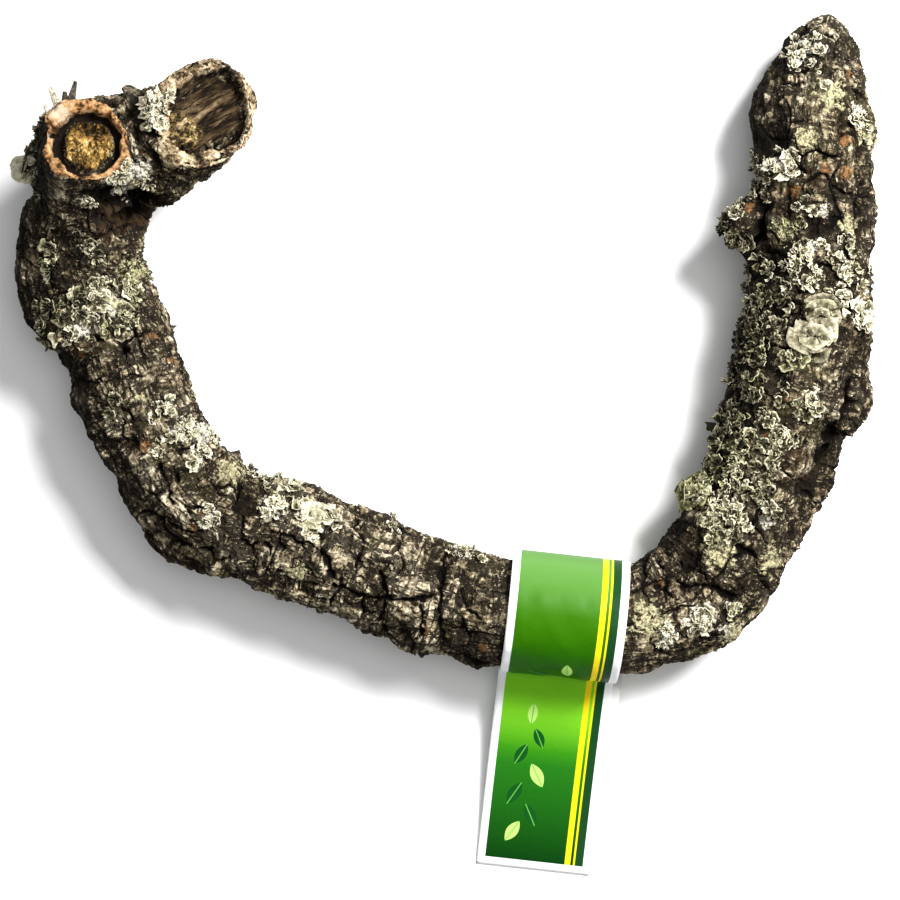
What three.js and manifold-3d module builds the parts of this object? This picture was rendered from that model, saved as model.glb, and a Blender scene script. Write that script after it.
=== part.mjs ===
// A dead cork oak branch, sawn off and laid on a flat surface, drawn as it looks from above.
// One limb bows round in a wide U. It forks into two short sawn stubs at one end, and its other end dips to the surface.
// A folded paper tag is looped round the middle of the bow.
// Units are millimetres, +Z is up, and the surface is at height 0.
import * as THREE from "three";
import Module from "manifold-3d";

const wasm = await Module();
wasm.setup();

// Driving dimensions of the limb and its two stubs: x, y and height of the axis, then the radius there.
// The limb runs from inside the fork, down the left arm, along the bow and up the right arm to its tip.
const LIMB_STATIONS = [
  [-134, 146, 46, 12],
  [-139, 133, 46, 20],
  [-144, 116, 42, 24],
  [-151, 100, 37, 26.5],
  [-156, 82, 30, 27.5],
  [-152, 64, 27, 29],
  [-139, 44, 28, 25.5],
  [-131, 23, 30, 25.5],
  [-121, 1, 31, 24.5],
  [-103, -23, 32, 25.5],
  [-74, -36, 32, 24.5],
  [-42, -47, 32, 24.5],
  [-10, -60, 33, 24.5],
  [20, -69, 33, 23.5],
  [52, -71, 33, 22.5],
  [84, -72, 32, 23],
  [114, -57, 26, 27.5],
  [130, -28, 29, 26],
  [142, 1, 31, 26.5],
  [153, 32, 32, 28.5],
  [157, 61, 32, 28],
  [158, 91, 32, 26.5],
  [159, 121, 31, 26],
  [160, 144, 27, 25.5],
  [162, 162, 20, 22],
  [168, 177, 9, 14.5],
];
const ROUND_STUB_STATIONS = [
  [-146, 104, 38, 14],
  [-147, 110, 52, 25],
  [-146, 119, 71, 20.5],
  [-144, 126, 90, 18.5],
];
const HOLLOW_STUB_STATIONS = [
  [-144, 112, 40, 14],
  [-129, 122, 45, 24],
  [-110, 134, 55, 21.5],
  [-97, 142, 65, 21.5],
];
const HOLLOW_CUT_NORMAL = new THREE.Vector3(0.32, 0.2, 0.92).normalize();
const HOLLOW_CUT_STRETCH = 44; // length of stub over which its rings lean over to the slanting cut

// Saw cuts: share of the end's radius and depth below the cut, from the cork rim to the middle of the wood.
const ROUND_CUT = [
  [0.74, 0],
  [0.69, 4.5],
  [0.63, 4.5],
  [0.58, 1.6],
  [0.3, 1.2],
];
const HOLLOW_CUT = [
  [0.84, 0.5],
  [0.78, 6],
  [0.66, 8.5],
  [0.34, 6],
];
const TIP_CUT = [
  [0.78, 0],
  [0.74, 1.5],
  [0.7, 0.4],
];

// Fineness of the faceted bark, and the hairline gap that parts one piece from the next.
const RING_STEP = 6.2;
const LIMB_POINTS = 30;
const STUB_POINTS = 26;
const PIECE_GAP = 0.3;

// Cork plates: size of a plate along and round the limb, how unevenly they stand, and the cracks between them.
const PLATE_LENGTH = 17;
const PLATE_WIDTH = 15;
const PLATE_STEP = 2.4;
const CRACK_DEPTH = 2.2;
const CRACK_SHARE = 0.22;

// Single features of the bark: where each one is, how far it reaches and how far it rises, or sinks if negative.
const SWELLINGS = [
  { name: "shoulder over the left bulge", at: [-121, 47, 44], reach: 17, rise: 4 },
  { name: "knob on the left arm", at: [-157, 22, 30], reach: 8, rise: 5 },
  { name: "boss inside the elbow", at: [-91, -9, 46], reach: 10, rise: 3 },
  { name: "heel of the elbow", at: [-120, -44, 28], reach: 21, rise: 5 },
  { name: "first lump under the bow", at: [-14, -85, 26], reach: 17, rise: 6 },
  { name: "second lump under the bow", at: [12, -92, 27], reach: 13, rise: 5 },
  { name: "broken twig on the right arm", at: [132, 97, 38], reach: 20, rise: 13 },
  { name: "socket of the broken twig", at: [124, 99, 50], reach: 6, rise: -5 },
  { name: "upper cork slab on the right arm", at: [179, 14, 36], reach: 17, rise: 4.5 },
  { name: "lower cork slab on the right arm", at: [168, -15, 36], reach: 16, rise: 4.5 },
  { name: "split behind the cork slabs", at: [163, 4, 50], reach: 11, rise: -4 },
  { name: "left shoulder of the tip", at: [137, 150, 32], reach: 18, rise: 4 },
  { name: "hollow under the fork", at: [-133, 100, 60], reach: 14, rise: -8 },
  { name: "notch under the left bulge", at: [-167, 42, 30], reach: 12, rise: -4 },
  { name: "torn bark beside the round stub", at: [-161, 133, 68], reach: 15, rise: 7 },
  { name: "lichen disc outside the fork", at: [-170, 118, 52], reach: 9, rise: 8 },
  { name: "lichen clump inside the bend", at: [107, -19, 36], reach: 11, rise: 5 },
];

// Leafy lichen grows in cushions on these stretches: shares of the limb's length, angles from its top, how many.
const LICHEN_STRETCHES = [
  { from: 0.1, to: 0.18, left: -60, right: 50, cushions: 10 },
  { from: 0.24, to: 0.34, left: -40, right: 60, cushions: 7 },
  { from: 0.68, to: 0.93, left: -85, right: 75, cushions: 44 },
];
const CUSHION_REACH = 8;
const CUSHION_RISE = 3.2;

// The tag: a strip of stiff paper folded round the limb, its two ends glued together as a tail.
const TAG_WIDTH = 50;
const TAG_PAPER = 0.6;
const TAG_CENTRE = new THREE.Vector3(52, -71, 33);
const TAG_TURN = THREE.MathUtils.degToRad(-6.3);
const TAG_LOOP_RADIUS = 26.2;
const TAG_FRONT_LEAVES = THREE.MathUtils.degToRad(-20);
const TAG_BACK_LEAVES = THREE.MathUtils.degToRad(290);
const TAG_CREASE = [29, 16];
const TAG_TAIL_SAG = [66, 4];
const TAG_TAIL_END = [114, 0.2];
const TAG_SMOOTH_STRETCH = 34; // half the length of limb that is kept smooth under the tag
const TAG_ARC_STEPS = 36;

const UP = new THREE.Vector3(0, 0, 1);
const FLOOR_SIZE = 900;

// A repeatable number from 0 to 1 for a cell of space.
function cellValue(x, y, z, salt) {
  const mixed = Math.sin(x * 127.1 + y * 311.7 + z * 74.7 + salt * 53.3) * 43758.5453;
  return mixed - Math.floor(mixed);
}

// The nearest and second nearest of a jittered grid of seeds, with a repeatable number for the nearest one.
function nearestSeeds(point) {
  const base = point.clone().floor();
  let first = Infinity;
  let second = Infinity;
  let value = 0;
  for (let i = 0; i < 27; i++) {
    const x = base.x + (i % 3) - 1;
    const y = base.y + (Math.floor(i / 3) % 3) - 1;
    const z = base.z + Math.floor(i / 9) - 1;
    const seed = new THREE.Vector3(
      x + cellValue(x, y, z, 1),
      y + cellValue(x, y, z, 2),
      z + cellValue(x, y, z, 3),
    );
    const distance = seed.distanceTo(point);
    if (distance < first) {
      second = first;
      first = distance;
      value = cellValue(x, y, z, 4);
    } else if (distance < second) {
      second = distance;
    }
  }
  return { first, second, value };
}

// Height of the cork plates at a place on the straightened limb.
function plateRelief(along, angle, radius) {
  const place = new THREE.Vector3(
    along / PLATE_LENGTH,
    (radius * Math.cos(angle)) / PLATE_WIDTH,
    (radius * Math.sin(angle)) / PLATE_WIDTH,
  );
  const { first, second, value } = nearestSeeds(place);
  const crack = 1 - THREE.MathUtils.smoothstep(second - first, 0, CRACK_SHARE);
  return (value - 0.5) * PLATE_STEP - crack * CRACK_DEPTH;
}

// How far all the swellings together lift the bark at a point.
function swellingRelief(point, swellings) {
  let lift = 0;
  for (const { at, reach, rise } of swellings) {
    const share = point.distanceTo(at) / reach;
    if (share < 1) lift += rise * (1 - share * share) ** 2;
  }
  return lift;
}

// Rings of points along a limb, and what its ends need: an axis curve, and a radius that follows the same stations.
class Limb {
  constructor(stations) {
    this.axis = new THREE.CatmullRomCurve3(stations.map(([x, y, z]) => new THREE.Vector3(x, y, z)));
    this.axis.arcLengthDivisions = 400;
    this.girth = new THREE.SplineCurve(stations.map((s, i) => new THREE.Vector2(i, s[3])));
    this.length = this.axis.getLength();
  }

  // The axis point, the directions along, up and sideways, and the radius, at a share of the length.
  at(share) {
    const t = this.axis.getUtoTmapping(share);
    const along = this.axis.getTangent(t);
    const side = new THREE.Vector3().crossVectors(along, UP).normalize();
    const top = new THREE.Vector3().crossVectors(side, along);
    return { centre: this.axis.getPoint(t), along, side, top, radius: this.girth.getPoint(t).y };
  }

  // A point at a distance from the axis, at an angle from the limb's top towards its side.
  surface(share, angle, distance) {
    const { centre, side, top } = this.at(share);
    return centre.addScaledVector(top, distance * Math.cos(angle)).addScaledVector(side, distance * Math.sin(angle));
  }

  // Every ring of the skin; relief gives the height of the bark over the plain radius.
  rings(points, relief) {
    const count = Math.round(this.length / RING_STEP);
    return Array.from({ length: count + 1 }, (_, i) => {
      const share = i / count;
      const { radius } = this.at(share);
      return Array.from({ length: points }, (_, j) => {
        const angle = (j / points) * 2 * Math.PI;
        const plain = this.surface(share, angle, radius);
        return this.surface(share, angle, radius + relief(plain, share * this.length, angle, radius));
      });
    });
  }
}

// Leans the last rings of a limb over, so that they end on a slanting cut.
function leanToCut(rings, limb, normal, stretch) {
  const { centre, along } = limb.at(1);
  const slope = along.dot(normal);
  rings.forEach((ring, i) => {
    const fromEnd = (1 - i / (rings.length - 1)) * limb.length;
    const lean = Math.max(0, 1 - fromEnd / stretch);
    for (const point of ring) {
      const offset = point.clone().sub(centre);
      offset.addScaledVector(along, -offset.dot(along));
      point.addScaledVector(along, (-lean * offset.dot(normal)) / slope);
    }
  });
}

function middleOf(ring) {
  return ring.reduce((sum, point) => sum.add(point), new THREE.Vector3()).divideScalar(ring.length);
}

// Rings that carry a skin over its saw cut and down into the wood.
function sawCut(lastRing, normal, steps) {
  const middle = middleOf(lastRing);
  return steps.map(([share, depth]) =>
    lastRing.map((point) => middle.clone().lerp(point, share).addScaledVector(normal, -depth)),
  );
}

// A closed solid from rings of points.
function solidFromRings(rings) {
  const points = rings[0].length;
  const first = rings.length * points;
  const vertices = [...rings.flat(), middleOf(rings[0]), middleOf(rings[rings.length - 1])];
  const triangles = [];
  for (let j = 0; j < points; j++) {
    const next = (j + 1) % points;
    triangles.push(first, next, j);
    const last = first - points;
    triangles.push(first + 1, last + j, last + next);
    for (let i = 0; i + 1 < rings.length; i++) {
      const a = i * points;
      const b = a + points;
      triangles.push(a + j, a + next, b + j, a + next, b + next, b + j);
    }
  }
  const mesh = new wasm.Mesh({
    numProp: 3,
    vertProperties: new Float32Array(vertices.flatMap((v) => v.toArray())),
    triVerts: new Uint32Array(triangles),
  });
  return new wasm.Manifold(mesh);
}

function solidFromGeometry(geometry) {
  const flat = geometry.index ? geometry.toNonIndexed() : geometry;
  const corners = flat.getAttribute("position");
  const seen = new Map();
  const vertices = [];
  const triangles = [];
  for (let i = 0; i < corners.count; i++) {
    const point = [corners.getX(i), corners.getY(i), corners.getZ(i)];
    const key = point.map((value) => value.toFixed(3)).join();
    if (!seen.has(key)) {
      seen.set(key, vertices.length / 3);
      vertices.push(...point);
    }
    triangles.push(seen.get(key));
  }
  return new wasm.Manifold(
    new wasm.Mesh({
      numProp: 3,
      vertProperties: new Float32Array(vertices),
      triVerts: new Uint32Array(triangles),
    }),
  );
}

function geometryFromSolid(solid) {
  const mesh = solid.getMesh();
  const geometry = new THREE.BufferGeometry();
  geometry.setAttribute("position", new THREE.BufferAttribute(mesh.vertProperties, 3));
  geometry.setIndex(new THREE.BufferAttribute(mesh.triVerts, 1));
  geometry.computeVertexNormals();
  return geometry;
}

// The body that is left of a stub once its neighbours are cut away, without stray crumbs of bark.
function largestBody(solid) {
  return solid.decompose().reduce((best, body) => (body.volume() > best.volume() ? body : best));
}

function pieceFrom(name, geometry, colour, roughness) {
  const mesh = new THREE.Mesh(geometry, new THREE.MeshStandardMaterial({ color: colour, roughness, metalness: 0 }));
  mesh.name = name;
  return mesh;
}

const limb = new Limb(LIMB_STATIONS);
const roundLimb = new Limb(ROUND_STUB_STATIONS);
const hollowLimb = new Limb(HOLLOW_STUB_STATIONS);

// Lichen cushions are spread evenly in each stretch, jittered by repeatable numbers.
const cushions = LICHEN_STRETCHES.flatMap(({ from, to, left, right, cushions: count }, stretch) =>
  Array.from({ length: count }, (_, i) => {
    const share = THREE.MathUtils.lerp(from, to, (i + cellValue(i, stretch, 0, 5)) / count);
    const angle = THREE.MathUtils.degToRad(THREE.MathUtils.lerp(left, right, cellValue(i, stretch, 0, 6)));
    const size = 0.7 + 0.6 * cellValue(i, stretch, 0, 7);
    return {
      at: limb.surface(share, angle, limb.at(share).radius),
      reach: CUSHION_REACH * size,
      rise: CUSHION_RISE * size,
    };
  }),
);
const swellings = [...SWELLINGS.map((s) => ({ ...s, at: new THREE.Vector3(...s.at) })), ...cushions];

function barkRelief(point, along, angle, radius) {
  const fromTag = Math.hypot(point.x - TAG_CENTRE.x, point.y - TAG_CENTRE.y);
  const rough = THREE.MathUtils.smoothstep(fromTag, TAG_SMOOTH_STRETCH, TAG_SMOOTH_STRETCH + 12);
  return rough * plateRelief(along, angle, radius) + swellingRelief(point, swellings);
}

// The skin of each limb, grown by a margin where it is used to cut its neighbours.
function limbSolid(margin) {
  const rings = limb.rings(LIMB_POINTS, (...place) => margin + barkRelief(...place));
  return solidFromRings([...rings, ...sawCut(rings[rings.length - 1], limb.at(1).along, TIP_CUT)]);
}

function roundStubSolid(margin) {
  const relief = (point, ...place) => margin + 0.6 * plateRelief(...place) + swellingRelief(point, swellings);
  const rings = roundLimb.rings(STUB_POINTS, relief);
  return solidFromRings([...rings, ...sawCut(rings[rings.length - 1], roundLimb.at(1).along, ROUND_CUT)]);
}

function hollowStubSolid() {
  const rings = hollowLimb.rings(STUB_POINTS, (point, ...place) => plateRelief(...place));
  leanToCut(rings, hollowLimb, HOLLOW_CUT_NORMAL, HOLLOW_CUT_STRETCH);
  return solidFromRings([...rings, ...sawCut(rings[rings.length - 1], HOLLOW_CUT_NORMAL, HOLLOW_CUT)]);
}

// What lies below the surface, which flattens the bark where the branch rests.
function belowFloor() {
  const block = new THREE.BoxGeometry(FLOOR_SIZE, FLOOR_SIZE, FLOOR_SIZE).translate(0, 0, -FLOOR_SIZE / 2);
  return solidFromGeometry(block);
}

// The tag's section across the limb: the loop round it, and the double tail that runs out to the surface.
function tagSection() {
  const outer = TAG_LOOP_RADIUS + TAG_PAPER;
  const [creaseOut, creaseUp] = TAG_CREASE;
  const [sagOut, sagUp] = TAG_TAIL_SAG;
  const [endOut, endUp] = TAG_TAIL_END;
  const double = 2 * TAG_PAPER;
  const section = new THREE.Shape();
  section.absarc(0, 0, outer, TAG_FRONT_LEAVES, TAG_BACK_LEAVES, false);
  section.lineTo(creaseOut, creaseUp - TAG_CENTRE.z);
  section.quadraticCurveTo(sagOut, sagUp - TAG_CENTRE.z, endOut, endUp - TAG_CENTRE.z);
  section.lineTo(endOut, endUp + double - TAG_CENTRE.z);
  section.quadraticCurveTo(sagOut, sagUp + double - TAG_CENTRE.z, creaseOut, creaseUp + double - TAG_CENTRE.z);
  section.closePath();
  const inside = new THREE.Path();
  inside.absarc(0, 0, TAG_LOOP_RADIUS, TAG_FRONT_LEAVES, TAG_BACK_LEAVES, false);
  inside.lineTo(creaseOut - double, creaseUp + TAG_PAPER - TAG_CENTRE.z);
  inside.closePath();
  section.holes.push(inside);
  return section;
}

function tagGeometry() {
  const geometry = new THREE.ExtrudeGeometry(tagSection(), {
    depth: TAG_WIDTH,
    bevelEnabled: false,
    curveSegments: TAG_ARC_STEPS,
  });
  geometry.translate(0, 0, -TAG_WIDTH / 2);
  // The section's first axis becomes -Y, the way the tail runs, and its second stays up.
  const across = new THREE.Vector3(1, 0, 0);
  const tailward = new THREE.Vector3(0, -1, 0);
  return geometry.applyMatrix4(new THREE.Matrix4().makeBasis(tailward, UP, across.negate()));
}

const floor = belowFloor();
const mainLimb = limbSolid(0).subtract(floor);
const limbCutter = limbSolid(PIECE_GAP);
const roundStub = largestBody(roundStubSolid(0).subtract(limbCutter));
const hollowStub = largestBody(hollowStubSolid().subtract(limbCutter).subtract(roundStubSolid(PIECE_GAP)));

const branch = new THREE.Group();
branch.add(
  pieceFrom("main_limb", geometryFromSolid(mainLimb), 0x5c5142, 0.95),
  pieceFrom("round_stub", geometryFromSolid(roundStub), 0x6b5a44, 0.95),
  pieceFrom("hollow_stub", geometryFromSolid(hollowStub), 0x62543f, 0.95),
);
const tag = pieceFrom("paper_tag", tagGeometry(), 0x3f9a28, 0.4);
tag.position.copy(TAG_CENTRE);
tag.rotation.z = TAG_TURN;
branch.add(tag);

export default branch;
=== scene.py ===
"""Dresses the cork branch: cracked bark over the solids, leafy lichen, sawn ends and a folded paper tag."""

import math

import bpy
import numpy as np
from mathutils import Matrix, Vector
from mathutils.kdtree import KDTree


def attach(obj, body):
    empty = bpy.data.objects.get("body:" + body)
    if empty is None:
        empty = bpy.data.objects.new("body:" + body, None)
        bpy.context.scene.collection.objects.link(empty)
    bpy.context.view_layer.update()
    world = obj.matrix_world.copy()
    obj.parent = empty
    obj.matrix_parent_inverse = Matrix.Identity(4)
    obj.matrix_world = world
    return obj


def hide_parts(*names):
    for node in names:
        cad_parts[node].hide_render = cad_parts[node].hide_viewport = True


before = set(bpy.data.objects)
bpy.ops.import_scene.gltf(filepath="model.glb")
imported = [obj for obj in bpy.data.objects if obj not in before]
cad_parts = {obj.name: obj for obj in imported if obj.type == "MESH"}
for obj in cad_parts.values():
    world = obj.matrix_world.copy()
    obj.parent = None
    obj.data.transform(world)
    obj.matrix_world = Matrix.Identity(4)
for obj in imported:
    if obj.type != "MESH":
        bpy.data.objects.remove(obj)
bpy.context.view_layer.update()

MM = 0.001
SEED = 20
dice = np.random.default_rng(SEED)

# The middle line of the limb and of its two stubs, in millimetres, with a typical radius for each.
LIMB_AXIS = [
    (-134, 146, 46), (-139, 133, 46), (-144, 116, 42), (-151, 100, 37), (-156, 82, 30), (-152, 64, 27),
    (-139, 44, 28), (-131, 23, 30), (-121, 1, 31), (-103, -23, 32), (-74, -36, 32), (-42, -47, 32),
    (-10, -60, 33), (20, -69, 33), (52, -71, 33), (84, -72, 32), (114, -57, 26), (130, -28, 29),
    (142, 1, 31), (153, 32, 32), (157, 61, 32), (158, 91, 32), (159, 121, 31), (160, 144, 27),
    (162, 162, 20), (168, 177, 9),
]
ROUND_STUB_AXIS = [(-147, 110, 58), (-146, 119, 71), (-144, 126, 90)]
HOLLOW_STUB_AXIS = [(-126, 124, 47), (-110, 134, 55), (-97, 142, 65)]
LIMB_RADIUS, ROUND_STUB_RADIUS, HOLLOW_STUB_RADIUS = 25.5, 19.5, 21.5
LIMB, ROUND_STUB, HOLLOW_STUB = 0, 1, 2

# Saw cuts: middle, direction faced and radius.
ROUND_CUT = ((-144.0, 126.0, 90.0), (0.1, 0.25, 0.96), 18.5)
HOLLOW_CUT = ((-97.0, 142.0, 65.0), (0.32, 0.2, 0.92), 23.0)
HOLLOW_GRAIN = math.radians(32)
ROUND_SHIFT, HOLLOW_SHIFT = 0.8, 0.5  # how far left of each cut's middle its rings are centred
ROUND_END = 18.6  # radius of the round stub's end before it is drawn to its outline
ROUND_GAP = 7  # depth of the gap between its rim and its core

# The sawn faces, seen when facing them: direction in degrees, outer and inner edge of the rim, and the core.
ROUND_RIM = [
    (0, 16.3, 13.4, 10.2), (45, 17.1, 13.5, 10.4), (90, 18.7, 12.7, 10.2), (122, 20.6, 13.0, 10.0),
    (146, 20.4, 12.8, 9.6), (160, 16.8, 12.8, 9.4), (178, 16.6, 13.2, 9.3), (200, 19.0, 14.7, 9.6),
    (225, 18.6, 13.6, 10.4), (270, 17.5, 14.4, 12.0), (300, 18.4, 14.8, 11.4), (316, 20.2, 14.2, 10.8),
    (340, 19.0, 14.4, 10.5),
]
HOLLOW_RIM = [
    (0, 19.5, 16.9), (30, 20.4, 17.5), (60, 23.6, 19.4), (76, 23.4, 17.6), (92, 21.4, 15.6),
    (112, 22.4, 14.6), (135, 22.4, 14.0), (160, 24.6, 15.0), (182, 22.4, 15.8), (205, 22.6, 18.0),
    (225, 27.0, 22.2), (246, 27.0, 21.2), (270, 23.4, 17.0), (300, 21.8, 16.4), (330, 20.0, 16.8),
    (350, 19.8, 17.2),
]

# The tag's loop round the limb: its middle, its turn about the vertical and how its strip runs.
TAG_CENTRE = (52.0, -71.0, 33.0)
TAG_TURN = math.radians(-6.3)
TAG_WIDTH = 50.0
TAG_LOOP_RADIUS = 26.3
TAG_PAPER = 0.3  # thickness
TAG_MARGIN = 3.4  # width of the white border

VOXEL = 0.64  # size of the skin's faces
SAME_POINT = 0.01  # points nearer to each other than this are one
STUB_OVERLAP = 0.5  # how far the stubs are swollen, to grow together with the limb
SMOOTH_ROUNDS, SMOOTH_PULL = 22, 0.6
PAINTED_SHADE_SIDE = (-0.97, 0.03, -0.25)  # the side turned away from the light, on which the bark is painted dark as shade
SEAMS = (135.0, 248.0, 358.0, 514.0)  # where the limb's bark is parted, the third under the tag
LIMB_LENGTHS = ["left_arm_bark", "left_bend_bark", "bow_bark", "right_bend_bark", "right_arm_bark"]
FAR = 9.0  # more cells away than any neighbour


# Numbers over space

def hashed(ix, iy, iz, salt):
    """A repeatable number from 0 to 1 for each cell of a grid."""
    h = ix.astype(np.int64) * 374761393 + iy.astype(np.int64) * 668265263 + iz.astype(np.int64) * 1440662683
    h = (h + salt * 974634777) & 0xFFFFFFFF
    h = ((h ^ (h >> 13)) * 1274126177) & 0xFFFFFFFF
    h = ((h ^ (h >> 16)) * 2246822519) & 0xFFFFFFFF
    return ((h ^ (h >> 15)) & 0xFFFFFF) / float(0xFFFFFF)


def lumps(places, salt=0):
    """Smooth noise from -1 to 1, one swing per unit."""
    base = np.floor(places)
    f = places - base
    f = f * f * (3 - 2 * f)
    total = np.zeros(len(places))
    for corner in range(8):
        bits = np.array([corner & 1, corner >> 1 & 1, corner >> 2 & 1])
        weight = np.prod(np.where(bits, f, 1 - f), axis=1)
        cell = base + bits
        total += weight * hashed(cell[:, 0], cell[:, 1], cell[:, 2], salt)
    return total * 2 - 1


def rough_lumps(places, octaves, salt=0):
    """Noise with finer noise on it."""
    total = np.zeros(len(places))
    for octave in range(octaves):
        total += lumps(places * 2**octave + octave * 17.3, salt + octave) * 0.5**octave
    return total


def plates(places, salt=0):
    """Cells of a jittered grid: distance to the nearest cell wall, and a number for the cell."""
    base = np.floor(places)
    first, second = np.full(len(places), FAR), np.full(len(places), FAR)
    number = np.zeros(len(places))
    for i in range(27):
        cell = base + np.array([i % 3 - 1, i // 3 % 3 - 1, i // 9 - 1])
        jitter = np.stack([hashed(*cell.T, salt + k) for k in (1, 2, 3)], axis=1)
        distance = np.linalg.norm(cell + jitter - places, axis=1)
        closer = distance < first
        second = np.where(closer, first, np.minimum(second, distance))
        number = np.where(closer, hashed(*cell.T, salt + 4), number)
        first = np.where(closer, distance, first)
    return second - first, number


def smoothstep(low, high, value):
    share = np.clip((value - low) / (high - low), 0, 1)
    return share * share * (3 - 2 * share)


def smooth_path(points, step=1.0):
    """Points a step apart on a smooth curve through the given ones."""
    points = np.array(points, float)
    padded = np.vstack([2 * points[0] - points[1], points, 2 * points[-1] - points[-2]])
    pieces = []
    for a, b, c, d in zip(padded, padded[1:], padded[2:], padded[3:]):
        t = np.linspace(0, 1, 40, endpoint=False)[:, None]
        curve = 2 * b + (c - a) * t + (2 * a - 5 * b + 4 * c - d) * t**2 + (3 * b - a - 3 * c + d) * t**3
        pieces.append(0.5 * curve)
    fine = np.vstack([*pieces, points[-1:]])
    gone = np.concatenate([[0], np.cumsum(np.linalg.norm(np.diff(fine, axis=0), axis=1))])
    even = np.arange(0, gone[-1], step)
    return np.stack([np.interp(even, gone, fine[:, k]) for k in range(3)], axis=1)


def units(rows):
    """Each row scaled to a length of 1."""
    return rows / np.linalg.norm(rows, axis=1)[:, None]


class Axis:
    """A limb's middle line, with its directions, to find where a point lies along and round it."""

    def __init__(self, points, radius):
        self.line = smooth_path(points)
        self.radius = radius
        self.ahead = units(np.gradient(self.line, axis=0))
        self.side = units(np.cross(self.ahead, (0, 0, 1)))
        self.top = np.cross(self.side, self.ahead)
        self.tree = KDTree(len(self.line))
        for i, point in enumerate(self.line):
            self.tree.insert(point, i)
        self.tree.balance()

    def places(self, points):
        """Distance along, up and sideways from the middle line for each point, and its distance from it."""
        found = [self.tree.find(point) for point in points]
        index = np.array([hit[1] for hit in found])
        away = np.array([hit[2] for hit in found])
        offset = points - self.line[index]
        along = index + np.sum(offset * self.ahead[index], axis=1)
        up = np.sum(offset * self.top[index], axis=1)
        side = np.sum(offset * self.side[index], axis=1)
        return np.stack([along, up, side], axis=1), away / self.radius


AXES = [
    Axis(LIMB_AXIS, LIMB_RADIUS), Axis(ROUND_STUB_AXIS, ROUND_STUB_RADIUS),
    Axis(HOLLOW_STUB_AXIS, HOLLOW_STUB_RADIUS),
]


# Small tools

def unit(vector):
    return np.array(vector) / np.linalg.norm(vector)


def bell(value, width):
    """1 at 0, falling away on both sides over a width."""
    return np.exp(-((value / width) ** 2))


def mound(points, x, y, reach):
    """1 at a place as seen from above, falling away over its reach."""
    return np.exp(-(((points[:, 0] - x) ** 2 + (points[:, 1] - y) ** 2) / reach**2))


def drift(places, salts):
    """Smooth noise in as many directions as there are salts."""
    return np.stack([lumps(places, salt) for salt in salts], axis=1)


def only(*objects):
    """Selects these objects alone, the first one active."""
    bpy.ops.object.select_all(action="DESELECT")
    for obj in objects:
        obj.select_set(True)
    bpy.context.view_layer.objects.active = objects[0]


def new_object(name, data):
    obj = bpy.data.objects.new(name, data)
    bpy.context.scene.collection.objects.link(obj)
    return obj


def apply(obj, kind, **settings):
    modifier = obj.modifiers.new(kind.lower(), kind)
    for key, value in settings.items():
        setattr(modifier, key, value)
    only(obj)
    bpy.ops.object.modifier_apply(modifier=modifier.name)


def edit(obj, operator, **settings):
    """Runs a mesh operator on the whole of an object."""
    only(obj)
    bpy.ops.object.mode_set(mode="EDIT")
    bpy.ops.mesh.select_all(action="SELECT")
    operator(**settings)
    bpy.ops.object.mode_set(mode="OBJECT")


def read(items, key, width, kind=float):
    """One property of every vertex, edge, corner or face, as rows."""
    flat = np.empty(len(items) * width, kind)
    items.foreach_get(key, flat)
    return flat.reshape(-1, width)


def first_corners(mesh):
    """The first vertex of every face."""
    corners = read(mesh.loops, "vertex_index", 1, np.int64)
    starts = read(mesh.polygons, "loop_start", 1, np.int64)
    return corners[starts].ravel()


def normals_of(mesh):
    return read(mesh.vertex_normals, "vector", 3)


def set_points(mesh, points):
    mesh.vertices.foreach_set("co", (points * MM).ravel())
    mesh.update()


def store(mesh, name, values):
    """Keeps a number or a direction for each vertex, for the materials to read."""
    kind, key = ("FLOAT", "value") if values.ndim == 1 else ("FLOAT_VECTOR", "vector")
    attribute = mesh.attributes.new(name, kind, "POINT")
    attribute.data.foreach_set(key, np.ascontiguousarray(values, np.float32).ravel())


def smoothed(points, edges, loose):
    """Points drawn towards their neighbours; loose is 1 where a point may move and 0 where it stays."""
    counts = np.bincount(edges.ravel(), minlength=len(points))[:, None]
    for _ in range(SMOOTH_ROUNDS):
        total = np.zeros_like(points)
        for k in range(3):
            total[:, k] += np.bincount(edges[:, 0], points[edges[:, 1], k], len(points))
            total[:, k] += np.bincount(edges[:, 1], points[edges[:, 0], k], len(points))
        points = points + (total / counts - points) * SMOOTH_PULL * loose[:, None]
    return points


def cut_places(points, cut):
    """Places across a saw cut: sideways, upwards and above it, as seen when facing it."""
    middle, facing, _ = cut
    facing = unit(facing)
    right = unit(np.cross((0, 1, 0), facing))
    up = np.cross(facing, right)
    offset = points - np.array(middle)
    return np.stack([offset @ right, offset @ up, offset @ facing], axis=1)


# Bark

# Cork is parted into strips along the limb, and each strip into bricks: strips round the limb, length of a
# brick, how unevenly bricks stand, how deep and how wide the cracks between them are.
GIRTH = 2 * math.pi * LIMB_RADIUS
BRICKS = {"strips": 7, "length": 19.0, "step": 1.5, "crack": 1.9, "width": 0.7}
FLAKES = {"strips": 15, "length": 30.0, "step": 1.5, "crack": 2.2, "width": 0.6}
CRAZING = {"strips": 23, "length": 5.5, "step": 0.6, "crack": 0.9, "width": 0.42}
FLAKE_STRETCHES = [(90, 205, 0.9), (400, 455, 0.7)]  # places along the limb and share of flakes there
FLAKE_FADE = 15  # half the length over which flakes give way to bricks
CRAZED_SHARE = 0.8
WARPS = [(13, 4.5, (11, 12, 13)), (4, 1.6, (14, 15, 16))]  # what bends the bricks: size, strength and seeds
TWIST = 0.004  # turn of the strips round the limb, in radians per millimetre
STUB_START = 400.0  # parts the bricks of the stubs from those of the limb
FULL_CRACK = 1.6  # depth from which a crack is painted black, partly its own dark colour and partly painted shade
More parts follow.
